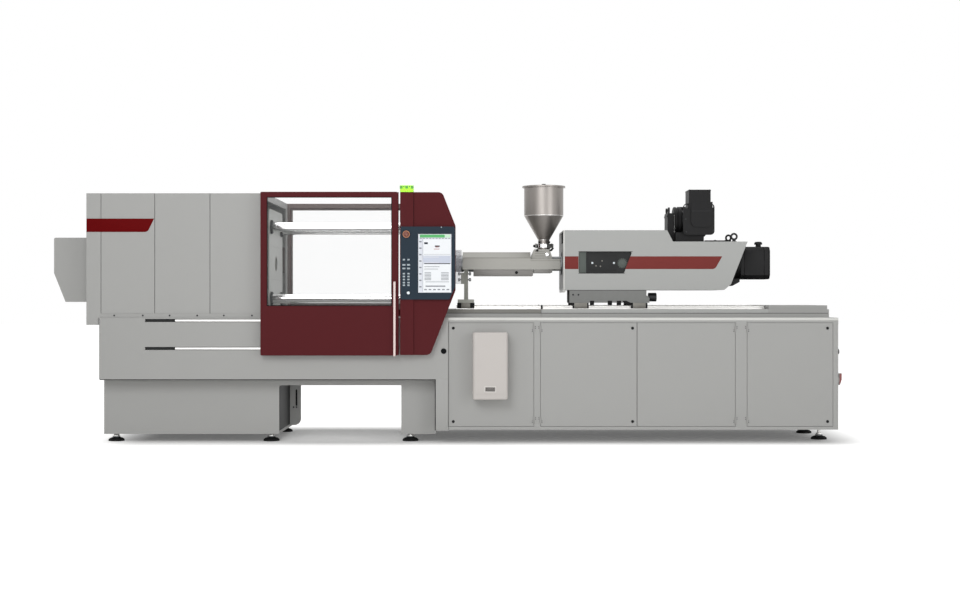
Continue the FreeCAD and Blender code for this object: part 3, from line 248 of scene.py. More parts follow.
class Look(Enum):
    """Every finish on the machine."""

    # Structured powder coat: a fine orange peel that softens the highlights.
    COVER = Finish("powder_coat_light_grey", "#A6A6A4", 0.5, **POWDER)
    BED = Finish("powder_coat_bed_grey", "#A4A4A2", 0.52, **POWDER)
    UNIT = Finish("powder_coat_unit_grey", "#ACADAB", 0.48, **POWDER)
    # EDGE is a lighter copy of the grey paint, a painted highlight where edges and lips catch the light.
    EDGE = Finish("powder_coat_painted_edge_highlight", "#D1D1CD", 0.4, grain=2.2, bump=12, tone=0.02)
    # BAND is a darker copy of the grey paint, used as painted shade on the way cover's left front band.
    BAND = Finish("powder_coat_painted_shade_band", "#83827D", 0.55, grain=2.2, bump=18, tone=0.04, shine=0.3)
    # Wine red powder coat, dark and even, with hardly any sheen; taupe paint on the doors' inner side.
    RED = Finish("powder_coat_wine_red", "#50191D", 0.55, grain=2.0, bump=16, tone=0.04, shine=0.1)
    LINER = Finish("taupe_inner_lining", "#6F6360", 0.6, grain=2.0, bump=16, shine=0.2)
    # Matt vinyl, two reds as the photograph has them.
    STRIPE = Finish("vinyl_stripe_deep_red", "#640609", 0.6, shine=0.05, **VINYL)
    STRIPE_UNIT = Finish("vinyl_stripe_brick_red", "#7A3532", 0.5, shine=0.1, **VINYL)
    # Machine enamel over a casting: thick, slightly uneven.
    PLATEN = Finish("enamel_on_casting", "#A0A29D", 0.4, patch=0.3, **ENAMEL)
    CARRIAGE = Finish("grey_enamel_on_casting", "#7E7F7D", 0.5, patch=0.05, tone=0.06, shine=0.3, **ENAMEL)
    PALE_CAST = Finish("pale_enamel_on_casting", "#ABACA4", 0.45, patch=0.2, shine=0.3, **ENAMEL)
    # Hard chrome on ground bars: sharp reflections with faint turning lines. Forged parts stay duller.
    CHROME = Finish("hard_chrome", "#F0F0F0", 0.12, 1.0, grain=0.6, bump=1.0, stretch=(0.2, 4.0, 4.0), tone=0.01)
    GROUND = Finish("ground_rail_steel", "#EAE9E7", 0.34, 0.9, grain=0.5, bump=0.5, stretch=(60.0, 1.0, 1.0), tone=0.01)
    FORGED = Finish("machined_forged_steel", "#8E9092", 0.38, 1.0, grain=0.7, bump=6, patch=0.1, tone=0.06)
    # Warm champagne anodising with a soft sheen, drawn out along the bar.
    HANDLE = Finish("anodised_handle_bar", "#C9B7B3", 0.38, 0.25, grain=0.5, bump=1.0, stretch=(1, 1, 40), tone=0.02)
    # Stainless sheet brushed upwards round the hopper, and the guard's sheets brushed along it.
    STAINLESS = Finish("brushed_stainless", "#948F8B", 0.36, 0.75, grain=0.5, bump=3, stretch=(1, 1, 25), tone=0.05)
    SHEET = Finish("brushed_sheet_steel", "#8D8C87", 0.42, 0.5, **BRUSHED)
    # SKIRT is the guard's sheet darkened, painted shade on its lower strips.
    SKIRT = Finish("shaded_sheet_steel", "#7C7A77", 0.5, 0.4, **BRUSHED)
    # Blacks, from oiled steel over motor enamel to rubber, each with its own depth of shine.
    BLACK_STEEL = Finish("black_oxide_steel", "#1E1F21", 0.45, 0.3, grain=0.6, bump=4, tone=0.08)
    MOTOR = Finish("black_motor_enamel", "#131314", 0.5, grain=3.0, bump=30, patch=0.2, tone=0.08, shine=0.2)
    RUBBER = Finish("black_rubber", "#161617", 0.75, grain=1.0, bump=20, tone=0.08, shine=0.2)
    # Operating panel: matt slate plastic, glossy bezel, soft keys.
    SLATE = Finish("slate_panel_plastic", "#25313C", 0.5, grain=0.8, bump=8, tone=0.04, shine=0.12)
    BEZEL = Finish("black_bezel_glass", "#10161B", 0.15, grain=0.5, bump=0.5, shine=0.4)
    KEY = Finish("grey_key_silicone", "#A7B2B9", 0.6, grain=0.6, bump=8)
    WHITE = Finish("white_gloss_plastic", "#E3EAEE", 0.3, grain=0.6, bump=4)
    # Textured warm paint of the cooler, with a lighter outlet frame.
    COOLER = Finish("off_white_textured_paint", "#C3BEBA", 0.55, grain=1.6, bump=24, tone=0.02, shine=0.3)
    COOLER_RIM = Finish("off_white_rim_paint", "#D2CECA", 0.5, grain=1.6, bump=20, tone=0.02)
    # Moulded plastics of the stop button, and the lit lamp with its darker prisms.
    ORANGE = Finish("orange_ring_plastic", "#BE7B55", 0.4, grain=0.6, bump=4)
    STOP = Finish("brown_red_mushroom_plastic", "#6E2F1A", 0.35, grain=0.6, bump=4)
    LAMP = Finish("lime_lamp_lens", "#A6EE22", 0.25, grain=1.0, bump=6, glow=0.35)
    LAMP_RIB = Finish("green_lamp_prisms", "#4E9A2C", 0.3, grain=1.0, bump=6, glow=0.15)
    # Depth: open joints, and painted shade as dark plates behind openings and in slots, darker paint on recessed parts,
    # and worn bare steel that also draws shade lines.
    SHADOW = Finish("dark_joint", "#101112", 0.8, grain=1.0, bump=8, shine=0.1)
    # CAVITY stands for painted shade: dark plates in slots, round and behind the unit's window and on a shaded pedestal
    # face.
    CAVITY = Finish("dark_anodised_plate", "#262727", 0.55, grain=1.0, bump=8, tone=0.05, shine=0.2)
    # RECESS darkens the parts inside the unit's window, painted shade.
    RECESS = Finish("grey_green_painted_recess_shade", "#5A605C", 0.55, grain=2.0, tone=0.04, shine=0.2)
    # DULL is worn steel, and also the painted shade lines on the rails and the guard's folds and the dark ring round
    # the ejector hole.
    DULL = Finish("worn_steel_and_painted_shade", "#77756F", 0.5, 0.5, grain=1.2, patch=0.03, tone=0.15)
    # Clear sheets: the doors' pane nearly vanishes, the purge guard is hazy.
    PANE = Finish("clear_polycarbonate", "#EEF2F3", 0.08, grain=30, bump=4, alpha=0.03, shine=0.3)
    HAZE = Finish("hazy_polycarbonate", "#CFCFD6", 0.35, grain=10, bump=6, alpha=0.28, shine=0.3)
    SWITCH = Finish("switch_plastic_grey", "#9B9694", 0.4, grain=0.6, bump=4)
    SWITCH_RED = Finish("switch_plastic_red", "#8C4A48", 0.4, grain=0.6, bump=4)
    MODULE = Finish("amplifier_housing", "#8C9093", 0.5, 0.3, grain=0.8, bump=8)
    # Screen colours glow a little, as a lit display does.
    SCREEN_BACK = Finish("display_pale_grey", "#D2D5DC", glow=0.12, **PIXELS)
    SCREEN_BAR = Finish("display_header_green", "#5CB06C", glow=0.1, **PIXELS)
    SCREEN_PALE = Finish("display_pale_green", "#BFDDC5", glow=0.15, **PIXELS)
    SCREEN_DARK = Finish("display_grey_rule", "#878B92", **PIXELS)
    SCREEN_INK = Finish("display_blue_black_rule", "#1D2430", **PIXELS)
    SCREEN_BLUE = Finish("display_chart_blue", "#C0C6D4", glow=0.12, **PIXELS)
    SCREEN_RED = Finish("display_faint_red", "#B98E8C", glow=0.05, **PIXELS)
    SCREEN_WHITE = Finish("display_white", "#E2E5E8", glow=0.14, **PIXELS)

    def material(self) -> bpy.types.Material:
        """The finish as a Blender material."""
        return self.value.material()


# ---- mesh helpers ----


def facing(direction: Vector) -> Matrix:
    """Rotation that takes +Z to a direction."""
    return direction.to_track_quat("Z", "Y").to_matrix().to_4x4()


def link(name: str, data: bpy.types.ID) -> Thing:
    """New object in the scene."""
    made = bpy.data.objects.new(name, data)
    bpy.context.scene.collection.objects.link(made)
    return made


def polar(radius: float, turn: float) -> tuple[float, float]:
    """Point at a radius and a share of a full turn."""
    return radius * math.cos(2 * math.pi * turn), radius * math.sin(2 * math.pi * turn)


def band(inner: float, outer: float, height: float, ease: float = 0.001) -> Outline:
    """Profile of a ring on a round part, eased at both outer edges."""
    return [(inner, 0.0), (outer, ease), (outer, height - ease), (inner, height)]


class Form:
    """One mesh in the making; every method adds a closed form and returns the Form."""

    def __init__(self) -> None:
        """Start with an empty mesh."""
        self.bm = bmesh.new()

    @staticmethod
    def _around(verts: Iterable[bmesh.types.BMVert]) -> list[bmesh.types.BMFace]:
        """Faces that meet some points."""
        return list(dict.fromkeys(face for vert in verts for face in vert.link_faces))

    def _soften(self, faces: Iterable[bmesh.types.BMFace], width: float) -> None:
        """Bevel the sharp edges of some faces."""
        if width > 0.0:
            edges = dict.fromkeys(edge for face in faces for edge in face.edges)
            sharp = [e for e in edges if e.is_manifold and e.calc_face_angle(0.0) > CREASE]
            bmesh.ops.bevel(self.bm, geom=sharp, offset=width, segments=BEVEL_STEPS, profile=0.5, affect="EDGES",
                            clamp_overlap=True)

    def boxes(self, *boxes: Box, bevel: float = 0.0) -> Form:
        """Blocks with softened edges; the two ends along an axis may come in any order."""
        for box in boxes:
            ends = [sorted(box[i : i + 2]) for i in (0, 2, 4)]
            centre = Vector([(high + low) / 2 for low, high in ends])
            matrix = Matrix.Translation(centre) @ Matrix.Diagonal((*(high - low for low, high in ends), 1.0))
            verts = bmesh.ops.create_cube(self.bm, size=1.0, matrix=matrix)["verts"]
            self._soften(self._around(verts), bevel)
        return self

    def prism(self, outline: Outline, start: float, end: float, bevel: float = 0.0, axis: str = "y") -> Form:
        """Extrude an outline.

        Args:
            outline: points in XZ for axis y, in YZ for axis x, in XY for axis z.
            start: place of one end along the axis.
            end: place of the other end.
            bevel: width of the softened edges.
            axis: x, y or z.
        """
        start, end = sorted((start, end))

        def at(a: float, b: float, along: float) -> Vector:
            """Point of the outline in space."""
            return Vector({"x": (along, a, b), "y": (a, along, b), "z": (a, b, along)}[axis])

        verts = [self.bm.verts.new(at(a, b, start)) for a, b in outline]
        pulled = bmesh.ops.extrude_face_region(self.bm, geom=[self.bm.faces.new(verts)])["geom"]
        moved = [part for part in pulled if isinstance(part, bmesh.types.BMVert)]
        bmesh.ops.translate(self.bm, verts=moved, vec=at(0.0, 0.0, end - start))
        faces = self._around([*verts, *moved])
        bmesh.ops.recalc_face_normals(self.bm, faces=faces)
        self._soften(faces, bevel)
        return self

    def lathe(self, profile: Outline, base: Point, axis: Axis = Axis.Z, segments: int = 32) -> Form:
        """Turn a profile of (radius, height) points about an axis from its base, closed at both ends."""
        turn = Matrix.Translation(Vector(base)) @ facing(axis.value)
        rings = []
        for radius, height in profile:
            count = segments if radius > 0 else 1
            spots = [Vector((*polar(radius, number / segments), height)) for number in range(count)]
            rings.append([self.bm.verts.new(turn @ spot) for spot in spots])
        made = []
        for lower, upper in zip(rings, rings[1:]):
            for number in range(segments):
                after = (number + 1) % segments
                corners = [lower[number % len(lower)], lower[after % len(lower)]]
                corners += [upper[after % len(upper)], upper[number % len(upper)]]
                made.append(self.bm.faces.new(list(dict.fromkeys(corners))))
        made += [self.bm.faces.new(ring) for ring in (rings[0], rings[-1]) if len(ring) > 1]
        bmesh.ops.recalc_face_normals(self.bm, faces=made)
        return self

    def hoop(self, section: Outline, base: Point, axis: Axis) -> Form:
        """Turn a closed section of (radius, height) points about an axis into an open ring."""
        turn = Matrix.Translation(Vector(base)) @ facing(axis.value)
        rings = []
        for number in range(RING_SEGMENTS):
            spots = [Vector((*polar(radius, number / RING_SEGMENTS), height)) for radius, height in section]
            rings.append([self.bm.verts.new(turn @ spot) for spot in spots])
        made = []
        for here, after in zip(rings, rings[1:] + rings[:1]):
            for part in range(len(here)):
                nxt = (part + 1) % len(here)
                made.append(self.bm.faces.new([here[part], here[nxt], after[nxt], after[part]]))
        bmesh.ops.recalc_face_normals(self.bm, faces=made)
        return self

    def place(self, name: str, look: Look, body: Body = Body.FRAME) -> None:
        """Make the object, give it its finish and let it ride on a moving group."""
        mesh = bpy.data.meshes.new(name)
        self.bm.to_mesh(mesh)
        self.bm.free()
        for face in mesh.polygons:
            face.use_smooth = True
        mesh.set_sharp_from_angle(angle=SMOOTH)
        mesh.materials.append(look.material())
        made = link(name, mesh)
        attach(made, body.value)


def mirrored(x0: float, x1: float, y0: float, y1: float, z0: float, z1: float) -> list[Box]:
    """The same box on the operator's side and on the far side."""
    return [(x0, x1, side * y0, side * y1, z0, z1) for side, _ in SIDES]


def plates(*rows: tuple, body: Body = Body.FRAME) -> None:
    """Pieces that are made of blocks only.

    Args:
        rows: name, finish, bevel and one or more boxes each.
        body: the moving group that carries them.
    """
    for name, look, bevel, *boxes in rows:
        Form().boxes(*boxes, bevel=bevel).place(name, look, body)


# ---- Geometry Nodes: what repeats ----


class Head(Enum):
    """Kinds of small repeated part: radius factor of the recess, height factor."""

    SOCKET = (0.52, 0.9)  # socket cap screw with a hexagon recess
    BUTTON = (0.35, 0.5)  # low button head
    PLUG = (0.0, 0.25)  # flat round plug or cap


def open_tree(name: str, **inputs: str) -> tuple[Tree, bpy.types.bpy_prop_collection]:
    """Start a node tree that works on points.

    Args:
        name: the tree's name.
        inputs: socket type of each named input beside Geometry.

    Returns:
        The tree and the outputs of its input node.
    """
    tree = bpy.data.node_groups.new(name, "GeometryNodeTree")
    for label, kind in {"Geometry": "Geometry", **inputs}.items():
        tree.interface.new_socket(label, in_out="INPUT", socket_type=f"NodeSocket{kind}")
    tree.interface.new_socket("Geometry", in_out="OUTPUT", socket_type="NodeSocketGeometry")
    return tree, add(tree, "NodeGroupInput").outputs


def close_tree(tree: Tree, look: Look, links: Link) -> Tree:
    """Put the instance on the points, make it real and give it its finish."""
    spread = add(tree, "GeometryNodeInstanceOnPoints", links)
    real = add(tree, "GeometryNodeRealizeInstances", {"Geometry": spread.outputs["Instances"]})
    painted = add(tree, "GeometryNodeSetMaterial", {"Geometry": real.outputs["Geometry"]}, in_Material=look.material())
    add(tree, "NodeGroupOutput", {"Geometry": painted.outputs["Geometry"]})
    return tree


def screw_tree(head: Head, look: Look) -> Tree:
    """Node tree that puts a turned head with its recess on every point of a mesh.

    Args:
        head: proportions of the head.
        look: finish of the heads.

    Returns:
        A tree with the inputs Geometry, Radius and Rotation.
    """
    tree, entry = open_tree(f"heads_{head.name.lower()}", Radius="Float", Rotation="Rotation")
    inner, tall = head.value

    def scaled(factor: float) -> Socket:
        """Radius times a factor."""
        node = add(tree, "ShaderNodeMath", {0: entry["Radius"]}, operation="MULTIPLY")
        node.inputs[1].default_value = factor
        return node.outputs[0]

    def lifted(mesh: Socket, height: Socket) -> Socket:
        """Mesh moved up by a height."""
        lift = add(tree, "ShaderNodeCombineXYZ", {"Z": height})
        return add(tree, "GeometryNodeTransform", {"Geometry": mesh, "Translation": lift.outputs[0]}).outputs[0]

    depth = scaled(tall)
    disc = add(tree, "GeometryNodeMeshCylinder", {"Radius": entry["Radius"], "Depth": depth}, in_Vertices=HEAD_SEGMENTS)
    top, rise = (scaled(share) for share in CROWN)
    cone = {"Radius Top": top, "Radius Bottom": entry["Radius"], "Depth": rise}
    crown = add(tree, "GeometryNodeMeshCone", cone, in_Vertices=HEAD_SEGMENTS)
    raised = lifted(crown.outputs["Mesh"], scaled(tall / 2))
    joined = add(tree, "GeometryNodeJoinGeometry")
    tree.links.new(disc.outputs["Mesh"], joined.inputs[0])
    tree.links.new(raised, joined.inputs[0])
    solid = joined.outputs[0]
    if inner:
        key = add(tree, "GeometryNodeMeshCylinder", {"Radius": scaled(inner), "Depth": depth}, in_Vertices=6)
        recess = lifted(key.outputs["Mesh"], scaled(tall * 0.75))
        cut = {"Mesh 1": solid, "Mesh 2": recess}
        solid = add(tree, "GeometryNodeMeshBoolean", cut, operation="DIFFERENCE").outputs["Mesh"]
    return close_tree(tree, look, {"Points": entry["Geometry"], "Instance": solid, "Rotation": entry["Rotation"]})


def rib_tree(look: Look) -> Tree:
    """Node tree with the inputs Count, Start, Step and Size that repeats one block along a line."""
    tree, entry = open_tree("ribs", Count="Int", Start="Vector", Step="Vector", Size="Vector")
    row = {"Count": entry["Count"], "Start Location": entry["Start"], "Offset": entry["Step"]}
    line = add(tree, "GeometryNodeMeshLine", row)
    slat = add(tree, "GeometryNodeMeshCube", {"Size": entry["Size"]})
    return close_tree(tree, look, {"Points": line.outputs["Mesh"], "Instance": slat.outputs["Mesh"]})


def grown(name: str, points: Sequence[Point], tree: Tree, body: Body, **inputs: object) -> None:
    """Run a node tree on a cloud of points and keep the result as a plain mesh.

    Args:
        name: the piece's name.
        points: where the tree works.
        tree: the node tree.
        body: the moving group that carries the piece.
        inputs: the tree's inputs by name.
    """
    cloud = bpy.data.meshes.new(f"{name}_points")
    cloud.from_pydata([Vector(p) for p in points], [], [])
    made = link(name, cloud)
    modifier = made.modifiers.new("grow", "NODES")
    modifier.node_group = tree
    sockets = {s.name: s.identifier for s in tree.interface.items_tree if s.in_out == "INPUT"}
    for key, value in inputs.items():
        modifier[sockets[key]] = value
    made.update_tag()
    bpy.context.view_layer.update()
    grid = bpy.context.evaluated_depsgraph_get()
    mesh = bpy.data.meshes.new_from_object(made.evaluated_get(grid), depsgraph=grid)
    made.modifiers.remove(modifier)
    made.data = mesh
    mesh.name = name
    mesh.set_sharp_from_angle(angle=SMOOTH)
    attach(made, body.value)


def heads(name: str, points: Sequence[Point], radius: float, axis: Axis, head: Head = Head.BUTTON,
          look: Look = Look.BLACK_STEEL, body: Body = Body.FRAME) -> None:
    """Row or field of screw heads or plugs that look along an axis."""
    turn = axis.value.to_track_quat("Z", "Y").to_euler()
    grown(name, points, screw_tree(head, look), body, Radius=radius, Rotation=tuple(turn))


def ribs(name: str, start: Point, step: Point, size: Point, count: int, look: Look) -> None:
    """Row of equal blocks on the frame."""
    grown(name, [start], rib_tree(look), Body.FRAME, Count=count, Start=start, Step=step, Size=size)


# ---- frame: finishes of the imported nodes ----


@dataclass
class FrameFinishes:
    """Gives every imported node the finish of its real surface."""

    finishes: dict[Look, str]

    def build(self, nodes: dict[str, Thing]) -> None:
        """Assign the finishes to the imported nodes."""
        for look, names in self.finishes.items():
            for thing in (nodes[name] for name in names.split()):
                if not thing.material_slots:
                    thing.data.materials.append(look.material())
                for slot in thing.material_slots:
                    slot.material = look.material()


PACKED = FrameFinishes(
    {
        Look.BED: "machine_bed pedestals cabinet_frame cabinet_door_1 cabinet_door_2 cabinet_door_3 cabinet_door_4"
        " rail_bed",
        Look.COVER: "clamp_side_covers clamp_cover_top clamp_end_covers",
        Look.UNIT: "injection_side_covers injection_cover_top",
        Look.RED: "door_front_frame door_rear_frame guard_post_rear control_column",
        Look.PLATEN: "end_platen fixed_platen moving_platen",
        Look.CARRIAGE: "carriage injection_frame",
        Look.PALE_CAST: "barrel_support",
        Look.CHROME: "tie_bars",
        Look.GROUND: "door_rails linear_rails clamp_ball_screw plasticising_screw",
        Look.HANDLE: "door_front_handle door_rear_handle",
        Look.FORGED: "tie_bar_nuts toggle_rear_link_upper toggle_rear_link_lower toggle_front_link_upper"
        " toggle_front_link_lower crosshead crosshead_link_upper crosshead_link_lower pressure_plate barrel",
        Look.STAINLESS: "hopper hopper_lid",
        Look.SHEET: "barrel_guard feed_throat",
        Look.MOTOR: "top_motor rear_motor clamp_motor",
        Look.RUBBER: "levelling_feet",
        # The ejector rod is black so that the hole it sits in reads dark, painted shade.
        Look.BLACK_STEEL: "ejector_rod",
        Look.PANE: "door_front_pane door_rear_pane",
        Look.HAZE: "purge_guard",
        Look.SLATE: "control_panel",
        Look.BEZEL: "touch_screen",
        Look.LAMP: "signal_lamp",
        Look.STOP: "emergency_stop",
        Look.WHITE: "start_button",
        Look.MODULE: "drive_modules",
        Look.COOLER: "cooling_unit",
        Look.SWITCH: "main_switch",
    }
)


# ---- clamp side ----


@dataclass
class ClampCovers:
    """Bare stripe, joint gaskets and screw row of the clamp covers."""

    left: float = -2.924
    stripe: tuple[float, float] = (1.719, 1.828)
    joints: tuple[float, ...] = (-2.806, -2.369, -1.920)
    screws: tuple[float, ...] = (-2.699, -2.466, -2.248, -2.024, -1.808, -1.579)

    def build(self) -> None:
        """Make the trim on both sides; the stripe ends in a slant with one rounded corner."""
        low, high = self.stripe
        tip = [(-2.447, low), (-2.432, low + 0.004), (-2.420, low + 0.015), (-2.3735, high)]
        outline = [(self.left, low), *tip, (self.left, high)]
        for side, tag in SIDES:
            stripe = Form().prism(outline, side * 0.7002, side * 0.7012, 0.0003)
            stripe.place(f"clamp_stripe_{tag}", Look.STRIPE)
            gaskets = [(x - 0.0018, x + 0.0018, side * 0.6952, side * 0.6962, 1.058, 2.033) for x in self.joints]
            plates((f"clamp_cover_gaskets_{tag}", Look.SHADOW, 0, *gaskets))
            heads(f"clamp_cover_screws_{tag}", [(x, side * 0.7005, 1.04) for x in self.screws], 0.007, Axis.out(side))


@dataclass
class SafetyDoors:
    """Pane seal, inner lining and latch edge of both sliding doors."""

    window: tuple[float, float, float, float] = (-1.445, -0.435, 1.118, 1.998)
    top: float = 2.037

    def build(self) -> None:
        """Make the trim of the front and the rear door."""
        x0, x1, z0, z1 = self.window
        left, right = x0 - 0.001, x1 + 0.001
        for (side, tag), body in zip(SIDES, (Body.FRONT_DOOR, Body.REAR_DOOR)):
            wide, look = (0.006, Look.SHADOW) if side < 0 else (0.018, Look.LINER)
            seal, lining = (side * 0.7995, side * 0.79), (side * 0.7599, side * 0.759)
            bars = [(x0, x0 + wide, *seal, z0, z1), (x1 - wide, x1, *seal, z0, z1)]
            bars += [(x0 + wide, x1 - wide, *seal, *ends) for ends in ((z0, z0 + wide), (z1 - wide, z1))]
            skins = [(-1.494, left, *lining, 0.722, self.top), (right, -0.392, *lining, 0.722, self.top)]
            skins += [(left, right, *lining, z1 + 0.001, self.top), (left, right, *lining, 1.08, z0 - 0.001)]
            edge = (-0.39, -0.3825, side * 0.799, side * 0.761, 0.7225, self.top - 0.0005)
            plates(
                (f"pane_seal_{tag}", look, 0.001, *bars),
                (f"door_lining_{tag}", Look.LINER, 0, *skins),
                (f"door_latch_edge_{tag}", Look.RED, 0.0015, edge),
                body=body,
            )


@dataclass
class MouldArea:
    """What shows through the front window: tie bar wipers, the ejector hole's ring and the door interlocks."""

    face: float = -1.475
    bars: tuple[float, float] = (0.325, 0.3)

    def build(self) -> None:
        """Make the rings on the platen and the interlock of each door."""
        wipers = Form()
        section = [(0.0405, 0), (0.058, 0), (0.058, 0.012), (0.052, 0.018), (0.0405, 0.018)]
        wide, tall = self.bars
        for y in (-wide, wide):
            for z in (AXIS_Z - tall, AXIS_Z + tall):
                wipers.hoop(section, (self.face, y, z), Axis.X)
        wipers.place("tie_bar_wipers", Look.RUBBER, Body.PLATEN)
        # The ring round the ejector hole is dull and dark, painted shade of the hole.
        ring = Form().hoop(band(0.05, 0.062, 0.004, 0), (self.face, 0, AXIS_Z), Axis.X)
        ring.place("ejector_hole_ring", Look.DULL, Body.PLATEN)
        lock = Form().boxes((-1.516, -1.472, 0.673, 0.6848, 1.408, 1.64), bevel=0.003)
        lock.boxes((-1.503, -1.486, 0.669, 0.673, 1.45, 1.6), bevel=0.002).place("door_interlock_rear", Look.LINER)
        front = (-1.516, -1.472, -0.6848, -0.673, 1.408, 1.64)
        plates(("door_interlock_front", Look.LINER, 0.003, front))


# ---- control column ----


@dataclass
class Display:
    """Generic process screen, drawn as thin tinted areas and rules with no words.

    Args:
        left: left edge of the lit area.
        low: lower edge.
        width: width of the lit area.
        height: height of the lit area.
        front: y of the glass.
        layer: thickness of one tinted layer.
    """

    left: float = -0.2225
    low: float = 1.2255
    width: float = 0.2665
    height: float = 0.4715
    front: float = -0.817
    layer: float = 0.0004

    def areas(self, name: str, look: Look, level: int, *spots: tuple[float, float, float, float]) -> None:
        """Areas of one colour as one piece.

        Args:
            name: the piece's name.
            look: its colour.
            level: number of layers under it.
            spots: left, top, right and bottom of each area, as shares from the top left corner.
        """
        near = self.front - self.layer * (level + 1)
        boxes = []
        for u0, v0, u1, v1 in spots:
            x0, x1 = self.left + u0 * self.width, self.left + u1 * self.width
            z0, z1 = self.low + (1 - v1) * self.height, self.low + (1 - v0) * self.height
            boxes.append((x0, x1, near, near + self.layer, z0, z1))
        plates((name, look, 0.0, *boxes))

    def build(self) -> None:
        """Make the screen's areas from back to front."""
        self.areas("display_back", Look.SCREEN_BACK, 0, (0, 0, 1, 1))
        self.areas("display_header", Look.SCREEN_BAR, 1, (0.05, 0.008, 0.8, 0.06))
        self.areas("display_header_end", Look.SCREEN_PALE, 1, (0.8, 0.008, 0.97, 0.06))
        self.areas("display_pages", Look.SCREEN_WHITE, 1, (0.15, 0.09, 0.985, 0.365), (0.15, 0.515, 0.985, 0.99))
        chart = [(0.15, 0.375, 0.975, 0.385), (0.15, 0.4, 0.62, 0.48), (0.62, 0.385, 0.975, 0.49)]
        self.areas("display_chart", Look.SCREEN_BLUE, 2, *chart)
        self.areas("display_alarm_rule", Look.SCREEN_RED, 2, (0.47, 0.25, 0.64, 0.262), (0.52, 0.204, 0.62, 0.228))
        ink = [(0.18, 0.497, 0.965, 0.511), (0.18, 0.14, 0.29, 0.172), (0.5, 0.196, 0.65, 0.216)]
        self.areas("display_bar", Look.SCREEN_INK, 2, *ink)
        pair = ((0.19, 0.39), (0.69, 0.92))
        rows = [(u0, 0.655 + 0.024 * n, u1, 0.666 + 0.024 * n) for u0, u1 in pair for n in range(6)]
        rows += [(0.135, 0.02, 0.141, 0.985), (0.18, 0.553, 0.64, 0.562), (0.18, 0.593, 0.6, 0.602)]
        rows += [(0.22, 0.812, 0.93, 0.821), (0.22, 0.88, 0.82, 0.9), (0.17, 0.345, 0.97, 0.349)]
        rows += [(0.05 + 0.095 * n, 0.067, 0.11 + 0.095 * n, 0.078) for n in range(10)]
        rows += [(0.03, 0.12 + 0.11 * n, 0.1, 0.142 + 0.11 * n) for n in range(8)]
        rows += [(0.18 + 0.135 * n, 0.938, 0.26 + 0.135 * n, 0.958) for n in range(6)]
        self.areas("display_rules", Look.SCREEN_DARK, 2, *rows)


@dataclass
class ControlColumn:
    """Screen, keys, rings, small lights and reveal of the operating column."""

    face: float = -0.812
    columns: tuple[float, float] = (-0.338, -0.301)
    rows: tuple[float, ...] = (1.491, 1.449, 1.420, 1.378, 1.355, 1.331, 1.306, 1.285)
    wide_rows: tuple[int, ...] = (1, 2)

    def build(self) -> None:
        """Make the column's trim."""
        Display().build()
        keys = []
        for index, z in enumerate(self.rows):
            wide = 0.0125 if index in self.wide_rows else 0.009
            keys += [(x - wide, x + wide, self.face - 0.0035, self.face, z - 0.0065, z + 0.0065) for x in self.columns]
        plates(("panel_keys", Look.KEY, 0.0015, *keys))
        section = [(0.0215, 0), (0.029, 0), (0.028, 0.0035), (0.0225, 0.0035)]
        Form().hoop(section, (-0.319, -0.82, 1.696), Axis.FRONT).place("stop_warning_ring", Look.ORANGE)
        collar = Form().hoop(band(0.0126, 0.0165, 0.002, 0), (-0.302, -0.816, 1.223), Axis.FRONT)
        collar.place("start_button_bezel", Look.SLATE)
        dome = [(0.005, 0), (0.005, 0.001), (0.003, 0.002), (0, 0.0022)]
        Form().lathe(dome, (-0.036, self.face, 1.7525), Axis.FRONT, 24).place("panel_status_light", Look.KEY)
        plates(("column_reveal", Look.SHADOW, 0, (-0.262, -0.26, -0.7862, -0.7848, 1.76, 2.034)))
        step = (0.0445, 0, 0)
        ribs("signal_lamp_prisms", (-0.361, -0.7978, 2.0755), step, (0.022, 0.0018, 0.022), 3, Look.LAMP_RIB)
        ribs("signal_lamp_fins", (-0.3387, -0.7978, 2.0805), step, (0.012, 0.0016, 0.01), 2, Look.LAMP_RIB)


# ---- bed and cabinet ----


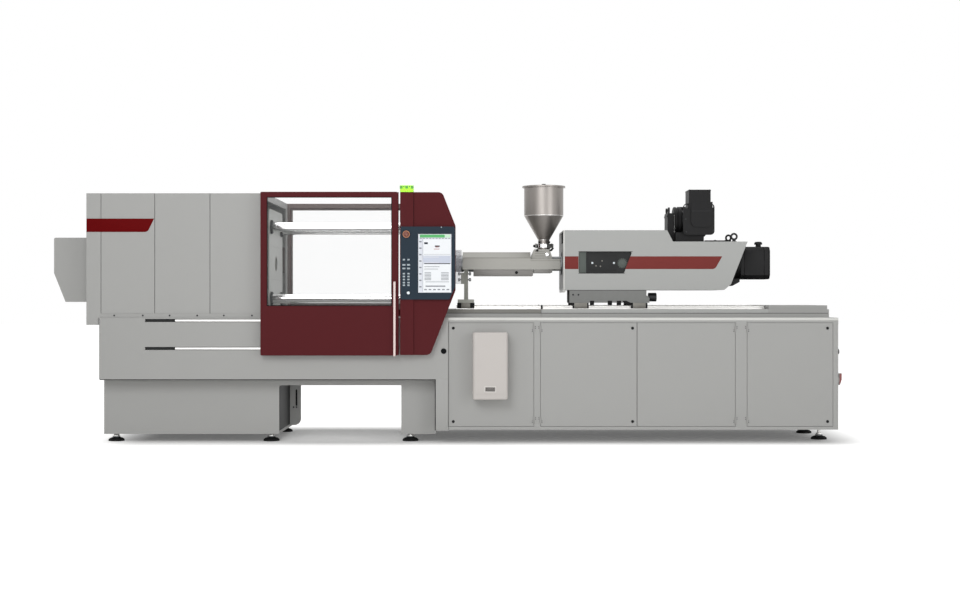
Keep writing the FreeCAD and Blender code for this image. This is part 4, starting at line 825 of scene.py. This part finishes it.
@dataclass
class BedTrim:
    """Plug, bolts, painted shadow lines, slot linings of painted shade and end plates of the bed, and the nuts and
    studs of its feet.
    """

    left_feet: tuple[float, ...] = (-2.738, -1.453, -0.301)
    right_feet: float = 3.116

    def build(self) -> None:
        """Make the trim."""
        plug = [(0.0225, 0), (0.0225, 0.004), (0.018, 0.006), (0, 0.006)]
        Form().lathe(plug, (-0.02, FASCIA, 0.751), Axis.FRONT).place("bed_plug", Look.SHADOW)
        bolts = [(x, 0.1595, 0.236) for x in (-1.3435, -1.318)]
        heads("stiffener_bolts", bolts, 0.007, Axis.FRONT, Head.SOCKET)
        self.feet()
        joints = [(-2.797, -0.09, y, y + 0.001, 0.519, 0.5225) for y in (-0.5605, 0.5595)]
        # Dark strips under the fascia and down the cabinet's corner: painted shadow of the overhang.
        seals = [(-2.8175, -0.092, -0.7, -0.69, 0.515, 0.5228), (-0.092, -0.0845, -0.69, -0.68, 0.105, 0.5228)]
        # The slots are lined dark, painted shade of the bed's inside.
        slots = [box for z in (0.9875, 0.7605) for box in mirrored(-2.4435, -2.2005, 0.7, 0.701, z, z + 0.024)]
        plates(
            ("bed_beam_joint", Look.SHADOW, 0, *joints),
            ("bed_edge_seals", Look.SHADOW, 0, *seals),
            ("cabinet_corner_cover", Look.BED, 0.001, (-0.0845, 0.016, -0.7195, -0.7012, 0.105, 0.5232)),
            ("bed_beam_end_plate", Look.BED, 0.001, (-2.8148, -2.7992, -0.5595, 0.5595, 0.4655, 0.519)),
            ("door_slot_lining", Look.CAVITY, 0, *slots),
            # Dark sheet on the pedestal's end face and dark strip in the stiffener's slot: painted shade.
            ("pedestal_end_lining", Look.CAVITY, 0, (-1.3758, -1.3746, -0.545, 0.158, 0.09, 0.455)),
            ("stiffener_slot_flap", Look.RUBBER, 0, (-1.333, -1.305, 0.1722, 0.1734, 0.238, 0.398)),
        )

    def feet(self) -> None:
        """Bright threaded studs, lock nuts and washers over the black bases."""
        studs, nuts, washers = Form(), Form(), Form()
        spots = [(x, y, 0.065) for x in self.left_feet for y in (-0.45, 0.45)]
        spots += [(self.right_feet, y, 0.1) for y in (-0.3, 0.3)]
        pitch = 0.004
        for x, y, top in spots:
            profile = [(0.0123, 0.036)]
            for number in range(int((top - 0.040) / pitch)):
                z = 0.037 + pitch * number
                profile += [(0.0138, z + 0.001), (0.0138, z + 0.002), (0.0126, z + 0.003), (0.0126, z + 0.004)]
            profile += [(0.0123, top - 0.0005), (0.012, top - 0.0005), (0.012, 0.036)]
            studs.hoop(profile, (x, y, 0), Axis.Z)
            corners = [polar(0.027, n / 6) for n in range(6)]
            nuts.prism([(x + a, y + b) for a, b in corners], 0.0395, 0.0525, 0.002, "z")
            washers.lathe([(0.034, 0.035), (0.034, 0.039), (0, 0.039)], (x, y, 0))
        studs.place("foot_studs", Look.GROUND)
        nuts.place("foot_lock_nuts", Look.GROUND)
        washers.place("foot_washers", Look.FORGED)


@dataclass
class CabinetTrim:
    """Locks, hinge screws, top lip, end knob, switch plate, rear screws and louvres of the cabinet."""

    locks: tuple[tuple[int, float], ...] = ((1, 0.058), (2, 1.515), (4, 3.1))
    hinges: tuple[tuple[float, int], ...] = ((0.7125, -1), (0.7665, 1), (2.3505, -1), (2.4465, 1))

    def build(self) -> None:
        """Make the trim of all four doors and of the cabinet; a lock is a collar with a recessed core."""
        core = [(0.012, 0), (0.012, 0.002), (0.01, 0.003), (0.006, 0.003), (0.006, 0.0012), (0, 0.0012)]
        for number, x in self.locks:
            form = Form()
            for z in (0.178, 0.937):
                form.lathe(core, (x, FRONT, z), Axis.FRONT)
            form.place(f"cabinet_lock_{number}", Look.RUBBER, Body(f"cabinet_door_{number}"))
        self.hinge_screws()
        knob = Form().lathe([(0.022, 0), (0.022, 0.01), (0.018, 0.014), (0, 0.015)], (3.188, -0.66, 0.745), Axis.X)
        knob.place("cabinet_end_knob", Look.RUBBER)
        rear = [(x, 0.7003, z) for x in (-0.02, 0.68, 0.75, 1.51, 1.59, 2.36, 2.44, 3.12) for z in (0.17, 0.96)]
        heads("rear_panel_screws", rear, 0.007, Axis.Y)
        levels = [0.25 + 0.022 * number for number in range(9)]
        vents = [(x, x + 0.35, 0.7001, 0.7035, z, z + 0.006) for x in (0.15, 1.0, 1.75, 2.6) for z in levels]
        plates(
            # The top lip is in the lighter EDGE grey, a painted highlight along the cabinet's top edge.
            ("cabinet_top_lip", Look.EDGE, 0.001, (-0.08, 3.188, -0.7022, -0.7, 1.0005, 1.0225)),
            ("main_switch_plate", Look.WHITE, 0, (3.188, 3.1885, -0.688, -0.602, 0.468, 0.572)),
            ("rear_louvres", Look.BED, 0.0015, *vents),
        )

    def hinge_screws(self) -> None:
        """Two screws in each leaf of the surface hinges, on the door and on the frame."""
        frame = []
        for number, (axis, side) in enumerate(self.hinges, 1):
            door = [(axis + side * 0.0125, -0.702, z + h) for z in (0.165, 0.905) for h in (0.006, 0.018)]
            frame += [(axis - side * 0.0135, -0.702, z + h) for z in (0.165, 0.905) for h in (0.032, 0.044)]
            heads(f"hinge_screws_{number}", door, 0.0032, Axis.FRONT, body=Body(f"cabinet_door_{number}"))
        heads("hinge_screws_frame", frame, 0.0032, Axis.FRONT)


@dataclass
class Cooler:
    """Outlet, shell seam and side screws of the enclosure cooler on the first door."""

    left: float = 0.216
    right: float = 0.499
    face: float = -0.86

    def build(self) -> None:
        """Make the lighter outlet frame, its dark back of painted shade, the seam and the screws."""
        near, front = self.face - 0.0015, self.face
        frame = [(0.31, 0.318, near, front, 0.424, 0.473), (0.397, 0.405, near, front, 0.424, 0.473)]
        frame += [(0.318, 0.397, near, front, 0.465, 0.473), (0.318, 0.397, near, front, 0.424, 0.432)]
        # The dark back stands for the shade inside the outlet, painted shade.
        back = (0.3185, 0.3965, front + 0.015, front + 0.0158, 0.4325, 0.4645)
        seams = [(x, x + 0.0005, -0.744, -0.7425, 0.369, 0.9) for x in (self.left - 0.0003, self.right - 0.0002)]
        plates(
            ("cooler_outlet_frame", Look.COOLER_RIM, 0.0006, *frame),
            ("cooler_outlet_back", Look.SHADOW, 0, back),
            ("cooler_shell_seam", Look.SHADOW, 0, *seams),
            body=Body.DOOR_1,
        )
        screws = [(self.left - 0.0002, y, z) for y in (-0.72, -0.80) for z in (0.42, 0.85)]
        heads("cooler_side_screws", screws, 0.004, Axis.LEFT, look=Look.GROUND, body=Body.DOOR_1)


@dataclass
class RailTrim:
    """Bolt caps, painted shade lines and stops of the rails, bands of the way cover, one darker with painted shade,
    seals and faces of the runners.
    """

    joint: float = 0.783
    rail: float = 0.3
    runners: tuple[tuple[float, float], ...] = (
        (1.050, 1.0622), (1.1728, 1.184), (1.538, 1.5532), (1.6618, 1.676), (0.084, 0.0922), (0.2188, 0.227)
    )

    def build(self) -> None:
        """Make the caps, the bands and the seals."""
        spots = [(0.105 + 0.06 * n, y, 1.1198) for n in range(43) for y in (-self.rail, self.rail)]
        heads("rail_bolt_caps", spots, 0.0085, Axis.Z, Head.PLUG)
        for side, tag in SIDES:
            skin, groove = (side * 0.5002, side * 0.5008, 1.0595, 1.0885), side * 0.4945
            gap = (-0.022, 3.152, groove - 0.0008, groove + 0.0008, 1.0552, 1.0588)
            plates(
                # The left length of the front band is darker, partly the cover's own darker part and partly painted
                # shade.
                (f"way_band_dark_{tag}", Look.BAND, 0, (-0.022, self.joint - 0.003, *skin)),
                (f"way_band_light_{tag}", Look.UNIT, 0, (self.joint + 0.003, 2.655, *skin)),
                (f"way_groove_{tag}", Look.SHADOW, 0, gap),
            )
        stops = mirrored(self.joint + 0.001, self.joint + 0.0165, 0.346, 0.326, 1.0902, 1.1245)
        # Thin dull strips along the rails' front upper edge: painted shade of the rails' chamfer.
        flanks = mirrored(0.076, 2.655, 0.3225, 0.3228, 1.1165, 1.1208)
        plates(("rail_stops", Look.RUBBER, 0.002, *stops), ("rail_flanks", Look.DULL, 0, *flanks))
        seals = Form()
        for ends in self.runners:
            for y in (-self.rail, self.rail):
                legs = [(*ends, y + side * 0.0375, y + side * 0.0235, 1.0965, 1.1425) for side, _ in SIDES]
                seals.boxes(*legs, bevel=0.0012)
                seals.boxes((*ends, y - 0.0235, y + 0.0235, 1.1235, 1.1425), bevel=0.0008)
        seals.place("runner_end_seals", Look.RUBBER, Body.UNIT)
        ends = ((0.0925, 0.119), (0.1925, 0.219))
        caps = [box for end in ends for box in mirrored(*end, 0.3376, 0.3398, 1.0975, 1.1425)]
        plates(
            ("support_runner_caps", Look.RUBBER, 0.0006, *caps),
            ("support_runner_faces", Look.DULL, 0.0004, *mirrored(0.12, 0.1915, 0.3376, 0.3386, 1.0975, 1.1425)),
            body=Body.UNIT,
        )


# ---- injection unit ----


@dataclass
class InjectionCovers:
    """Bare stripe, window rim in painted shade, rear screws, deck strips, eyes and the left end's edges and flange in
    painted highlight, of the unit's covers.
    """

    left: float = 0.9838
    stripe: tuple[float, float] = (1.425, 1.531)

    def build(self) -> None:
        """Make the trim of both side covers, the deck and the left end."""
        low, high = self.stripe
        tip = [(2.222, low), (2.240, low + 0.006), (2.252, low + 0.020), (2.300, high)]
        lengths = {
            "front_left": [(self.left, low), (1.098, low), (1.098, high), (self.left, high)],
            "front_right": [(1.489, low), *tip, (1.532, high)],
            "rear": [(self.left, low), *tip, (self.left, high)],
        }
        for tag, outline in lengths.items():
            side = 1 if tag == "rear" else -1
            form = Form().prism(outline, side * 0.3402, side * 0.341, 0.0002)
            form.place(f"unit_stripe_{tag}", Look.STRIPE_UNIT, Body.UNIT)
        # The window rim is dark, painted shade round the window's edges.
        rim = Form()
        for outline in (
            [(1.096, 1.387), (1.485, 1.387), (1.482, 1.391), (1.1, 1.391)],
            [(1.1, 1.569), (1.5475, 1.569), (1.553, 1.573), (1.096, 1.573)],
        ):
            rim.prism(outline, -0.3408, -0.3308, 0.0003)
        rim.place("window_rim_painted_shade", Look.CAVITY, Body.UNIT)
        back = [(x, 0.3403, z) for x in (1.0, 1.42, 1.80) for z in (1.285, 1.72)]
        back += [(2.10, 0.3403, 1.285), (2.29, 0.3403, 1.285), (2.48, 0.3403, 1.632)]
        heads("unit_cover_screws_rear", back, 0.0065, Axis.Y, look=Look.GROUND, body=Body.UNIT)
        tops = [(x, y, 1.67) for x in (2.262, 2.352) for y in (-0.2, 0.2)]
        heads("deck_strip_bolts", tops, 0.009, Axis.Z, look=Look.RUBBER, body=Body.UNIT)
        strips = [(2.172, 2.395, y - 0.015, y + 0.015, 1.6552, 1.67) for y in (-0.2, 0.2)]
        # The end edges and the drip flange are in the lighter EDGE grey, a painted highlight where the folds catch the
        # light.
        edges = mirrored(0.9722, 0.9835, 0.3401, 0.3416, 1.252, 1.7495)
        plates(
            ("deck_lifting_strips", Look.RUBBER, 0.002, *strips),
            ("unit_end_edges", Look.EDGE, 0.0006, *edges),
            ("unit_drip_flange", Look.EDGE, 0.0035, (0.9725, 0.9905, -0.336, 0.336, 1.231, 1.2495)),
            ("unit_end_slit", Look.SHADOW, 0.0004, (0.9733, 0.9752, -0.236, -0.012, 1.645, 1.735)),
            body=Body.UNIT,
        )
        eyes = Form()
        shank = [(0.026, 0), (0.026, 0.006), (0.015, 0.012), (0.013, 0.022), (0, 0.022)]
        for y, axis in ((-0.15, Axis.Y), (0.15, Axis.SKEW)):
            eyes.lathe(shank, (2.43, y, 1.6551), Axis.Z, 28)
            section = [(0.0235 + a, b) for a, b in (polar(0.0085, n / 12) for n in range(12))]
            eyes.hoop(section, (2.43, y, 1.704), axis)
        eyes.place("lifting_eyes", Look.BLACK_STEEL, Body.UNIT)


@dataclass
class WindowMechanism:
    """What shows in the front cover's window: bolts, a sight plate and a toothed coupling, darkened as painted shade,
    with two white bolt heads as painted highlights.
    """

    back: float = -0.3249
    teeth: int = 16

    def build(self) -> None:
        """Make the parts behind the window."""
        backing = [(1.092, 1.38), (1.52, 1.38), (1.56, 1.58), (1.092, 1.58)]
        Form().prism(backing, -0.3248, -0.322).place("window_backing_painted_shade", Look.CAVITY, Body.UNIT)
        plates(
            ("window_side_strip", Look.RECESS, 0.002, (1.101, 1.163, -0.329, self.back, 1.392, 1.568)),
            ("window_slide_plate", Look.CAVITY, 0.002, (1.182, 1.418, -0.3275, self.back, 1.412, 1.545)),
            body=Body.UNIT,
        )
        # The two white heads are painted highlights of bolts catching the light; the dull heads are darker as painted
        # shade.
        ends = [(x, -0.3276, 1.476) for x in (1.215, 1.396)]
        heads("window_bolts", ends, 0.0085, Axis.FRONT, Head.SOCKET, Look.WHITE, Body.UNIT)
        dull = [(1.297, -0.3276, 1.493), (1.246, -0.3276, 1.452), (1.283, -0.3276, 1.448)]
        heads("window_small_bolts", dull, 0.006, Axis.FRONT, look=Look.DULL, body=Body.UNIT)
        tooth = ((0.031, 0.0), (0.044, 0.25), (0.044, 0.55), (0.031, 0.8))
        rim = [polar(reach, (number + share) / self.teeth) for number in range(self.teeth) for reach, share in tooth]
        gear = Form().prism([(1.466 + a, 1.474 + b) for a, b in rim], -0.33, self.back)
        gear.lathe([(0.022, 0), (0.022, 0.004), (0.016, 0.006), (0, 0.006)], (1.466, -0.33, 1.474), Axis.FRONT)
        gear.place("window_toothed_coupling", Look.RECESS, Body.UNIT)


@dataclass
class CarriageTrim:
    """Black clamping blocks, painted shadow line along the top, dark end plate that is partly painted shade, drive
    band, bolts and runner faces of the carriage.
    """

    left: float = 1.023

    def build(self) -> None:
        """Make the details along the front and rear flanks."""
        blocks, depth = Form(), (-0.344, -0.3265)
        for ends in ((1.194, 1.229), (1.343, 1.379), (1.418, 1.455)):
            blocks.boxes((*ends, *depth, 1.1235, 1.16), bevel=0.002)
        slant = [(1.465, 1.16), (1.482, 1.136), (1.512, 1.1235), (1.534, 1.1235), (1.534, 1.143), (1.5, 1.16)]
        blocks.prism(slant, *depth, 0.002)
        blocks.boxes((self.left + 0.001, 1.0475, -0.338, -0.305, 1.125, 1.1428), bevel=0.002)
        blocks.place("carriage_clamp_blocks", Look.RUBBER, Body.UNIT)
        ends = ((1.0645, 1.1705), (1.5555, 1.6595))
        faces = [box for end in ends for box in mirrored(*end, 0.3379, 0.3388, 1.0975, 1.1425)]
        for side, tag in SIDES:
            spots = [(x, side * 0.3401, 1.21) for x in (1.053, 1.098)]
            heads(f"carriage_bolts_{tag}", spots, 0.0075, Axis.out(side), Head.SOCKET, body=Body.UNIT)
        # The dark strip under the cover is painted shadow; the dark plate on the left end face is partly painted shade
        # of that face.
        joint = (self.left + 0.003, 1.66, -0.3409, -0.3401, 1.2462, 1.2496)
        dark_end = (self.left - 0.002, self.left, -0.3395, -0.004, 1.1435, 1.2495)
        plates(
            ("runner_faces", Look.DULL, 0.0003, *faces),
            ("carriage_top_joint", Look.SHADOW, 0, joint),
            ("carriage_end_wiper", Look.RUBBER, 0.0005, dark_end),
            body=Body.UNIT,
        )
        cap = Form().hoop(band(0.0343, 0.0366, 0.066), (1.6945, -0.23, 1.19), Axis.X)
        cap.place("carriage_drive_band", Look.BLACK_STEEL, Body.UNIT)


@dataclass
class TopMotorTrim:
    """Lid, glands, plate bolts, seams, fan grille and bell housing of the screw motor across the deck."""

    x: float = 2.118
    z: float = 1.847
    face: float = 0.2501

    def build(self) -> None:
        """Make the motor's details."""
        lid = (2.0318, 2.2182, -0.2592, -0.0288, 2.0825, 2.095)
        # A strip of bright steel on the gear case's edge: a painted highlight.
        glint = (1.9292, 1.93, -0.1068, -0.1035, 1.662, 1.89)
        plates(
            ("terminal_box_lid", Look.MOTOR, 0.003, lid),
            ("gear_case_bright_edge", Look.GROUND, 0, glint),
            body=Body.UNIT,
        )
        screws = [(x, y, 2.0951) for x in (2.042, 2.208) for y in (-0.249, -0.039)]
        heads("terminal_box_screws", screws, 0.004, Axis.Z, body=Body.UNIT)
        glands = Form()
        gland = [(0.016, 0), (0.016, 0.01), (0.013, 0.012), (0.013, 0.022), (0.01, 0.024), (0, 0.024)]
        for x in (2.085, 2.165):
            glands.lathe(gland, (x, -0.03, 2.02), Axis.Y, 12)
        glands.place("terminal_box_blind_glands", Look.RUBBER, Body.UNIT)
        left, low = self.x - 0.107, self.z - 0.107
        for side, tag in SIDES:
            y = side * self.face
            spots = [(left, y, low), (self.x + 0.122, y, self.z - 0.1), (self.x - 0.112, y, self.z)]
            heads(f"motor_plate_bolts_{tag}", spots, 0.008, Axis.out(side), Head.SOCKET, body=Body.UNIT)
        rim = Form().hoop(band(0.0155, 0.0185, 0.001, 0), (left, -self.face, self.z + 0.107), Axis.FRONT)
        rim.boxes((2.056, 2.227, -0.2635, -0.2619, 1.9135, 1.9165), bevel=0.0004)
        rim.place("motor_front_seams", Look.BLACK_STEEL, Body.UNIT)
        grille = Form()
        for number in range(6):
            radius = 0.018 + 0.015 * number
            grille.hoop(band(radius, radius + 0.004, 0.002, 0), (self.x, self.face, self.z), Axis.Y)
        grille.place("motor_fan_grille", Look.BLACK_STEEL, Body.UNIT)
        case = [(1.8709, y, z) for y in (-0.09, 0.09) for z in (1.72, 1.88)]
        heads("gear_case_bolts", case, 0.008, Axis.LEFT, Head.SOCKET, body=Body.UNIT)
        section = [(0.072, 0), (0.118, 0), (0.126, 0.006), (0.126, 0.022), (0.119, 0.026), (0.119, 0.032)]
        section += [(0.127, 0.036), (0.127, 0.056), (0.12, 0.06), (0.12, 0.066), (0.072, 0.066)]
        Form().hoop(section, (1.9305, 0, 1.838), Axis.X).place("motor_bell_housing", Look.MOTOR, Body.UNIT)


@dataclass
class RearMotorTrim:
    """Square housing, end cap, screws, connector ribs and cast foot of the injection motor."""

    half: float = 0.135
    low: float = 1.3425
    high: float = 1.6195
    corner: float = 0.034
    lengths: tuple[tuple[float, float], ...] = ((2.49, 2.518), (2.521, 2.688), (2.691, 2.728))

    def build(self) -> None:
        """Make the housing in three lengths with open joints, and what sits on it."""
        housing = Form()
        for ends in self.lengths:
            housing.prism(self.section(0.0), *ends, 0.0015, "x")
        housing.place("rear_motor_housing", Look.MOTOR, Body.UNIT)
        cap = Form().prism(self.section(0.001), 2.7295, 2.74, 0.006, "x")
        cap.place("rear_motor_end_cap", Look.MOTOR, Body.UNIT)
        spots = [(2.7402, a, AXIS_Z + b) for a, b in (polar(0.062, 0.125 + n / 4) for n in range(4))]
        heads("rear_motor_screws", spots, 0.006, Axis.X, Head.SOCKET, body=Body.UNIT)
        collar = Form()
        for number in range(4):
            collar.hoop(band(0.0222, 0.0245, 0.0025, 0.0005), (2.662, 0, 1.616 + 0.004 * number), Axis.Z)
        collar.place("connector_ribs", Look.RUBBER, Body.UNIT)
        foot = [(2.37, 1.286), (2.425, 1.286), (2.487, 1.32), (2.487, 1.349), (2.392, 1.349)]
        Form().prism(foot, -0.1, 0.1, 0.003).place("rear_motor_bracket", Look.MOTOR, Body.UNIT)

    def section(self, inset: float) -> Outline:
        """Square section with cut corners in YZ, a little smaller by an inset."""
        half, low, high = self.half - inset, self.low + inset, self.high - inset
        cut = self.corner
        right = [(half - cut, low), (half, low + cut), (half, high - cut), (half - cut, high)]
        return right + [(-y, z) for y, z in reversed(right)]


@dataclass
class BarrelTrim:
    """Knobs, screws, skirts in painted shade and painted shade lines along the barrel, and the feed block's fittings.
    """

    guard: float = 0.1501
    skirt: float = 0.1451

    def build(self) -> None:
        """Make the barrel's details."""
        knobs = Form()
        grip = [(0.006, 0), (0.006, 0.006), (0.014, 0.008), (0.014, 0.022), (0.009, 0.026), (0, 0.026)]
        for x, direction in ((0.112, Axis.LEFT), (0.173, Axis.X)):
            for z in (1.34, 1.39):
                knobs.lathe(grip, (x, 0, z), direction, 24)
        knobs.place("barrel_support_knobs", Look.FORGED, Body.UNIT)
        back = [(x, 0.1503, 1.445) for x in (0.16, 0.42, 0.69, 0.90)]
        heads("barrel_guard_screws_rear", back, 0.005, Axis.Y, look=Look.GROUND, body=Body.UNIT)
        self.skirts()
        self.feed_block()

    def skirts(self) -> None:
        """Lower strips of the guard darkened as painted shade, with their knob, and the painted shadow lines under the
        roof and at the guard's folds.
        """
        knobs, face, edge = Form(), self.skirt + 0.0011, self.guard + 0.0005
        for side, _ in SIDES:
            profile = [(0.013, 0), (0.013, 0.005), (0.009, 0.008), (0, 0.008)]
            knobs.lathe(profile, (0.5846, side * face, 1.399), Axis.out(side), 28)
        strips = mirrored(0.2195, 0.7245, self.skirt, face, 1.3715, 1.4245)
        strips += mirrored(0.7335, 0.8875, self.skirt, face, 1.3975, 1.4245)
        lines = mirrored(0.1275, 0.7035, self.guard, edge, 1.5205, 1.5255)
        lines += mirrored(0.7045, 0.9575, self.guard, edge, 1.498, 1.5015)
        lines += mirrored(0.89, 0.9575, self.guard, edge, 1.4255, 1.429)
        plates(
            ("guard_skirt_faces", Look.SKIRT, 0.0003, *strips),
            ("guard_fold_lines", Look.DULL, 0, *lines),
            body=Body.UNIT,
        )
        knobs.place("guard_skirt_knobs", Look.RUBBER, Body.UNIT)

    @staticmethod
    def feed_block() -> None:
        """Water nipple, black knobs, lever and channels of the feed block, and the flange's bolts."""
        cap = [(0.011, 0), (0.011, 0.014), (0.008, 0.018), (0, 0.018)]
        knobs = Form().lathe(cap, (0.7385, -0.06, 1.627), Axis.FRONT, 20)
        knobs.lathe([(0.01, 0), (0.01, 0.02), (0, 0.022)], (0.762, -0.0902, 1.59), Axis.FRONT, 20)
        knobs.place("feed_block_knobs", Look.RUBBER, Body.UNIT)
        lever = [(0.868, 1.58), (0.888, 1.583), (0.906, 1.607), (0.893, 1.612), (0.866, 1.59)]
        Form().prism(lever, -0.098, -0.08, 0.003).place("gate_lever", Look.RUBBER, Body.UNIT)
        nipple = [(0.0165, 0), (0.0165, 0.006), (0.01, 0.008), (0.01, 0.02), (0.006, 0.021), (0, 0.021)]
        form = Form().lathe(nipple, (0.85, -0.0902, 1.552), Axis.FRONT, 24)
        form.place("cooling_water_nipple", Look.CHROME, Body.UNIT)
        channels = [(0.74, 0.83, -0.0908, -0.0901, z, z + 0.004) for z in (1.54, 1.56, 1.576)]
        plates(("feed_block_channels", Look.DULL, 0, *channels), body=Body.UNIT)
        ring = [(HOPPER_X + a, b, 1.6462) for a, b in (polar(0.068, n / 6) for n in range(6))]
        heads("hopper_flange_bolts", ring, 0.007, Axis.Z, Head.SOCKET, body=Body.UNIT)


@dataclass
class HopperTrim:
    """Welds, gate band and latches of the hopper, and the lid's knob."""

    def build(self) -> None:
        """Make the hopper's details."""
        welds = Form()
        for radius, z in ((0.168, 1.8845), (0.049, 1.6785)):
            welds.hoop(band(radius, radius + 0.0012, 0.005), (HOPPER_X, 0, z), Axis.Z)
        welds.place("hopper_welds", Look.GROUND, Body.UNIT)
        gate = Form().hoop(band(0.0822, 0.0838, 0.032), (HOPPER_X, 0, 1.613), Axis.Z)
        gate.place("hopper_gate_band", Look.CHROME, Body.UNIT)
        latches = Form()
        for x in (0.782, 0.868):
            latches.lathe([(0.0085, 0), (0.0085, 0.008), (0.005, 0.01), (0, 0.01)], (x, -0.04, 1.66), Axis.FRONT, 20)
        latches.place("gate_neck_latches", Look.RUBBER, Body.UNIT)
        knob = Form().lathe([(0.013, 0), (0.017, 0.004), (0.0165, 0.008), (0, 0.0095)], (HOPPER_X, 0, 2.1522))
        knob.place("hopper_lid_knob", Look.RUBBER, Body.LID)


@dataclass
class SwitchTrim:
    """Reddish grip of the main switch."""

    outline: Outline = ((3.2075, 0.566), (3.2262, 0.566), (3.2262, 0.519), (3.2125, 0.474), (3.2075, 0.474))

    def build(self) -> None:
        """Make the grip's coloured face."""
        grip = Form().prism(self.outline, -0.6565, -0.6335, 0.0008)
        grip.place("main_switch_grip", Look.SWITCH_RED, Body.SWITCH)


# ---- studio ----


@dataclass
class Studio:
    """Pale floor, white surround, soft lights and the photograph's camera.

    Args:
        eye: place of the camera.
        lens: focal length in millimetres.
        ambient: strength of the surround as the machine's light.
        lamps: name, place, target, size and power of each soft light.
    """

    eye: Point = (0.275, -13.3, 1.166)
    lens: float = 58.125
    ambient: float = 0.42
    lamps: tuple[tuple[str, Point, Point, float, float], ...] = (
        ("key", (-2.4, -8.5, 5.0), (0.1, 0.0, 0.9), 4.0, 243.0),
        ("fill", (5.5, -7.0, 2.2), (0.5, 0.0, 0.8), 4.0, 98.0),
        ("low", (0.0, -9.0, 0.9), (-0.5, 0.0, 0.3), 3.0, 92.0),
        ("overhead", (0.0, 0.5, 6.5), (0.0, 0.0, 0.0), 6.0, 115.0),
    )

    def build(self) -> None:
        """Make the stage, the lights and the camera."""
        scene = bpy.context.scene
        scene.view_settings.view_transform = "Standard"
        scene.view_settings.look = "None"
        self.floor()
        self.surround(scene)
        for name, spot, target, size, power in self.lamps:
            data = bpy.data.lights.new(name, "AREA")
            data.shape, data.size, data.energy = "DISK", size, power
            made = link(name, data)
            made.location = spot
            made.rotation_euler = (Vector(target) - Vector(spot)).to_track_quat("-Z", "Y").to_euler()
        self.camera(scene)

    @staticmethod
    def seen(tree: Tree) -> Socket:
        """Socket that is 1 where the eye meets the stage, also in metal and through glass."""
        path = add(tree, "ShaderNodeLightPath").outputs
        total = path["Is Camera Ray"]
        for ray in ("Is Transmission Ray", "Is Glossy Ray"):
            total = add(tree, "ShaderNodeMath", {0: total, 1: path[ray]}, operation="MAXIMUM").outputs[0]
        return total

    def floor(self) -> None:
        """Large matt floor that reads as white far out and keeps the machine's shadow, with a painted shadow where its
        glow for the eye falls off under the machine.
        """
        bm = bmesh.new()
        bmesh.ops.create_grid(bm, x_segments=2, y_segments=2, size=60.0)
        mesh = bpy.data.meshes.new("studio_floor")
        bm.to_mesh(mesh)
        bm.free()
        paint = bpy.data.materials.new("studio_floor_paint")
        tree = blank(paint)
        where = add(tree, "ShaderNodeTexCoord").outputs["Object"]
        cloud = add(tree, "ShaderNodeTexNoise", {"Vector": where}, in_Scale=0.5, in_Detail=2.0)
        tone = blend(tree, cloud.outputs["Fac"], linear("#F1F1F0"), linear("#F5F5F4"))
        matt = add(tree, "ShaderNodeBsdfDiffuse", {"Color": tone})
        # Distance outside the machine's footprint, half of it by mirroring; the floor's glow for the eye drops towards
        # the footprint, a painted shadow under the machine.
        spot, middle, reach, none = where, (0.3, 0.0, 0.0), (2.75, 0.56, 0.0), (0.0, 0.0, 0.0)
        for kind, value in (("SUBTRACT", middle), ("ABSOLUTE", none), ("SUBTRACT", reach), ("MAXIMUM", none)):
            step = add(tree, "ShaderNodeVectorMath", {0: spot}, operation=kind)
            step.inputs[1].default_value = value
            spot = step.outputs[0]
        away = add(tree, "ShaderNodeVectorMath", {0: spot}, operation="LENGTH")
        rise = add(tree, "ShaderNodeMapRange", {"Value": away.outputs["Value"]}, interpolation_type="SMOOTHSTEP",
                   in_From_Min=0.0, in_From_Max=0.60, in_To_Min=0.12, in_To_Max=0.75)
        level = add(tree, "ShaderNodeMath", {0: rise.outputs["Result"], 1: self.seen(tree)}, operation="MULTIPLY")
        lift = add(tree, "ShaderNodeEmission", {"Strength": level.outputs[0]})
        both = add(tree, "ShaderNodeAddShader", {0: matt.outputs[0], 1: lift.outputs[0]})
        add(tree, "ShaderNodeOutputMaterial", {"Surface": both.outputs[0]})
        mesh.materials.append(paint)
        made = link("studio_floor", mesh)

    def surround(self, scene: bpy.types.Scene) -> None:
        """White background for the eye, a dimmer one for the light that it gives."""
        world = bpy.data.worlds.new("studio")
        tree = blank(world)
        white = (1.0, 1.0, 1.0, 1.0)
        lit = add(tree, "ShaderNodeBackground", in_Strength=self.ambient, in_Color=white)
        plain = add(tree, "ShaderNodeBackground", in_Strength=1.0, in_Color=white)
        mixed = add(tree, "ShaderNodeMixShader", {0: self.seen(tree), 1: lit.outputs[0], 2: plain.outputs[0]})
        add(tree, "ShaderNodeOutputWorld", {"Surface": mixed.outputs[0]})
        scene.world = world

    def camera(self, scene: bpy.types.Scene) -> None:
        """Level camera straight in front of the machine."""
        data = bpy.data.cameras.new("camera")
        data.sensor_width, data.lens, data.clip_end = 36.0, self.lens, 200.0
        made = link("camera", data)
        made.location = self.eye
        made.rotation_euler = (math.pi / 2, 0.0, 0.0)
        scene.camera = made


def main() -> None:
    """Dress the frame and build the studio."""
    logging.basicConfig(level=logging.INFO, format="%(name)s: %(message)s")
    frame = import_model()
    PACKED.build(frame["nodes"])
    parts = (
        ClampCovers(), SafetyDoors(), MouldArea(), ControlColumn(), BedTrim(), CabinetTrim(), Cooler(), RailTrim(),
        InjectionCovers(), WindowMechanism(), CarriageTrim(), TopMotorTrim(), RearMotorTrim(), BarrelTrim(),
        HopperTrim(), SwitchTrim(), Studio(),
    )
    for part in parts:
        part.build()
        LOG.info("%s done", type(part).__name__)


if __name__ == "__main__":
    main()
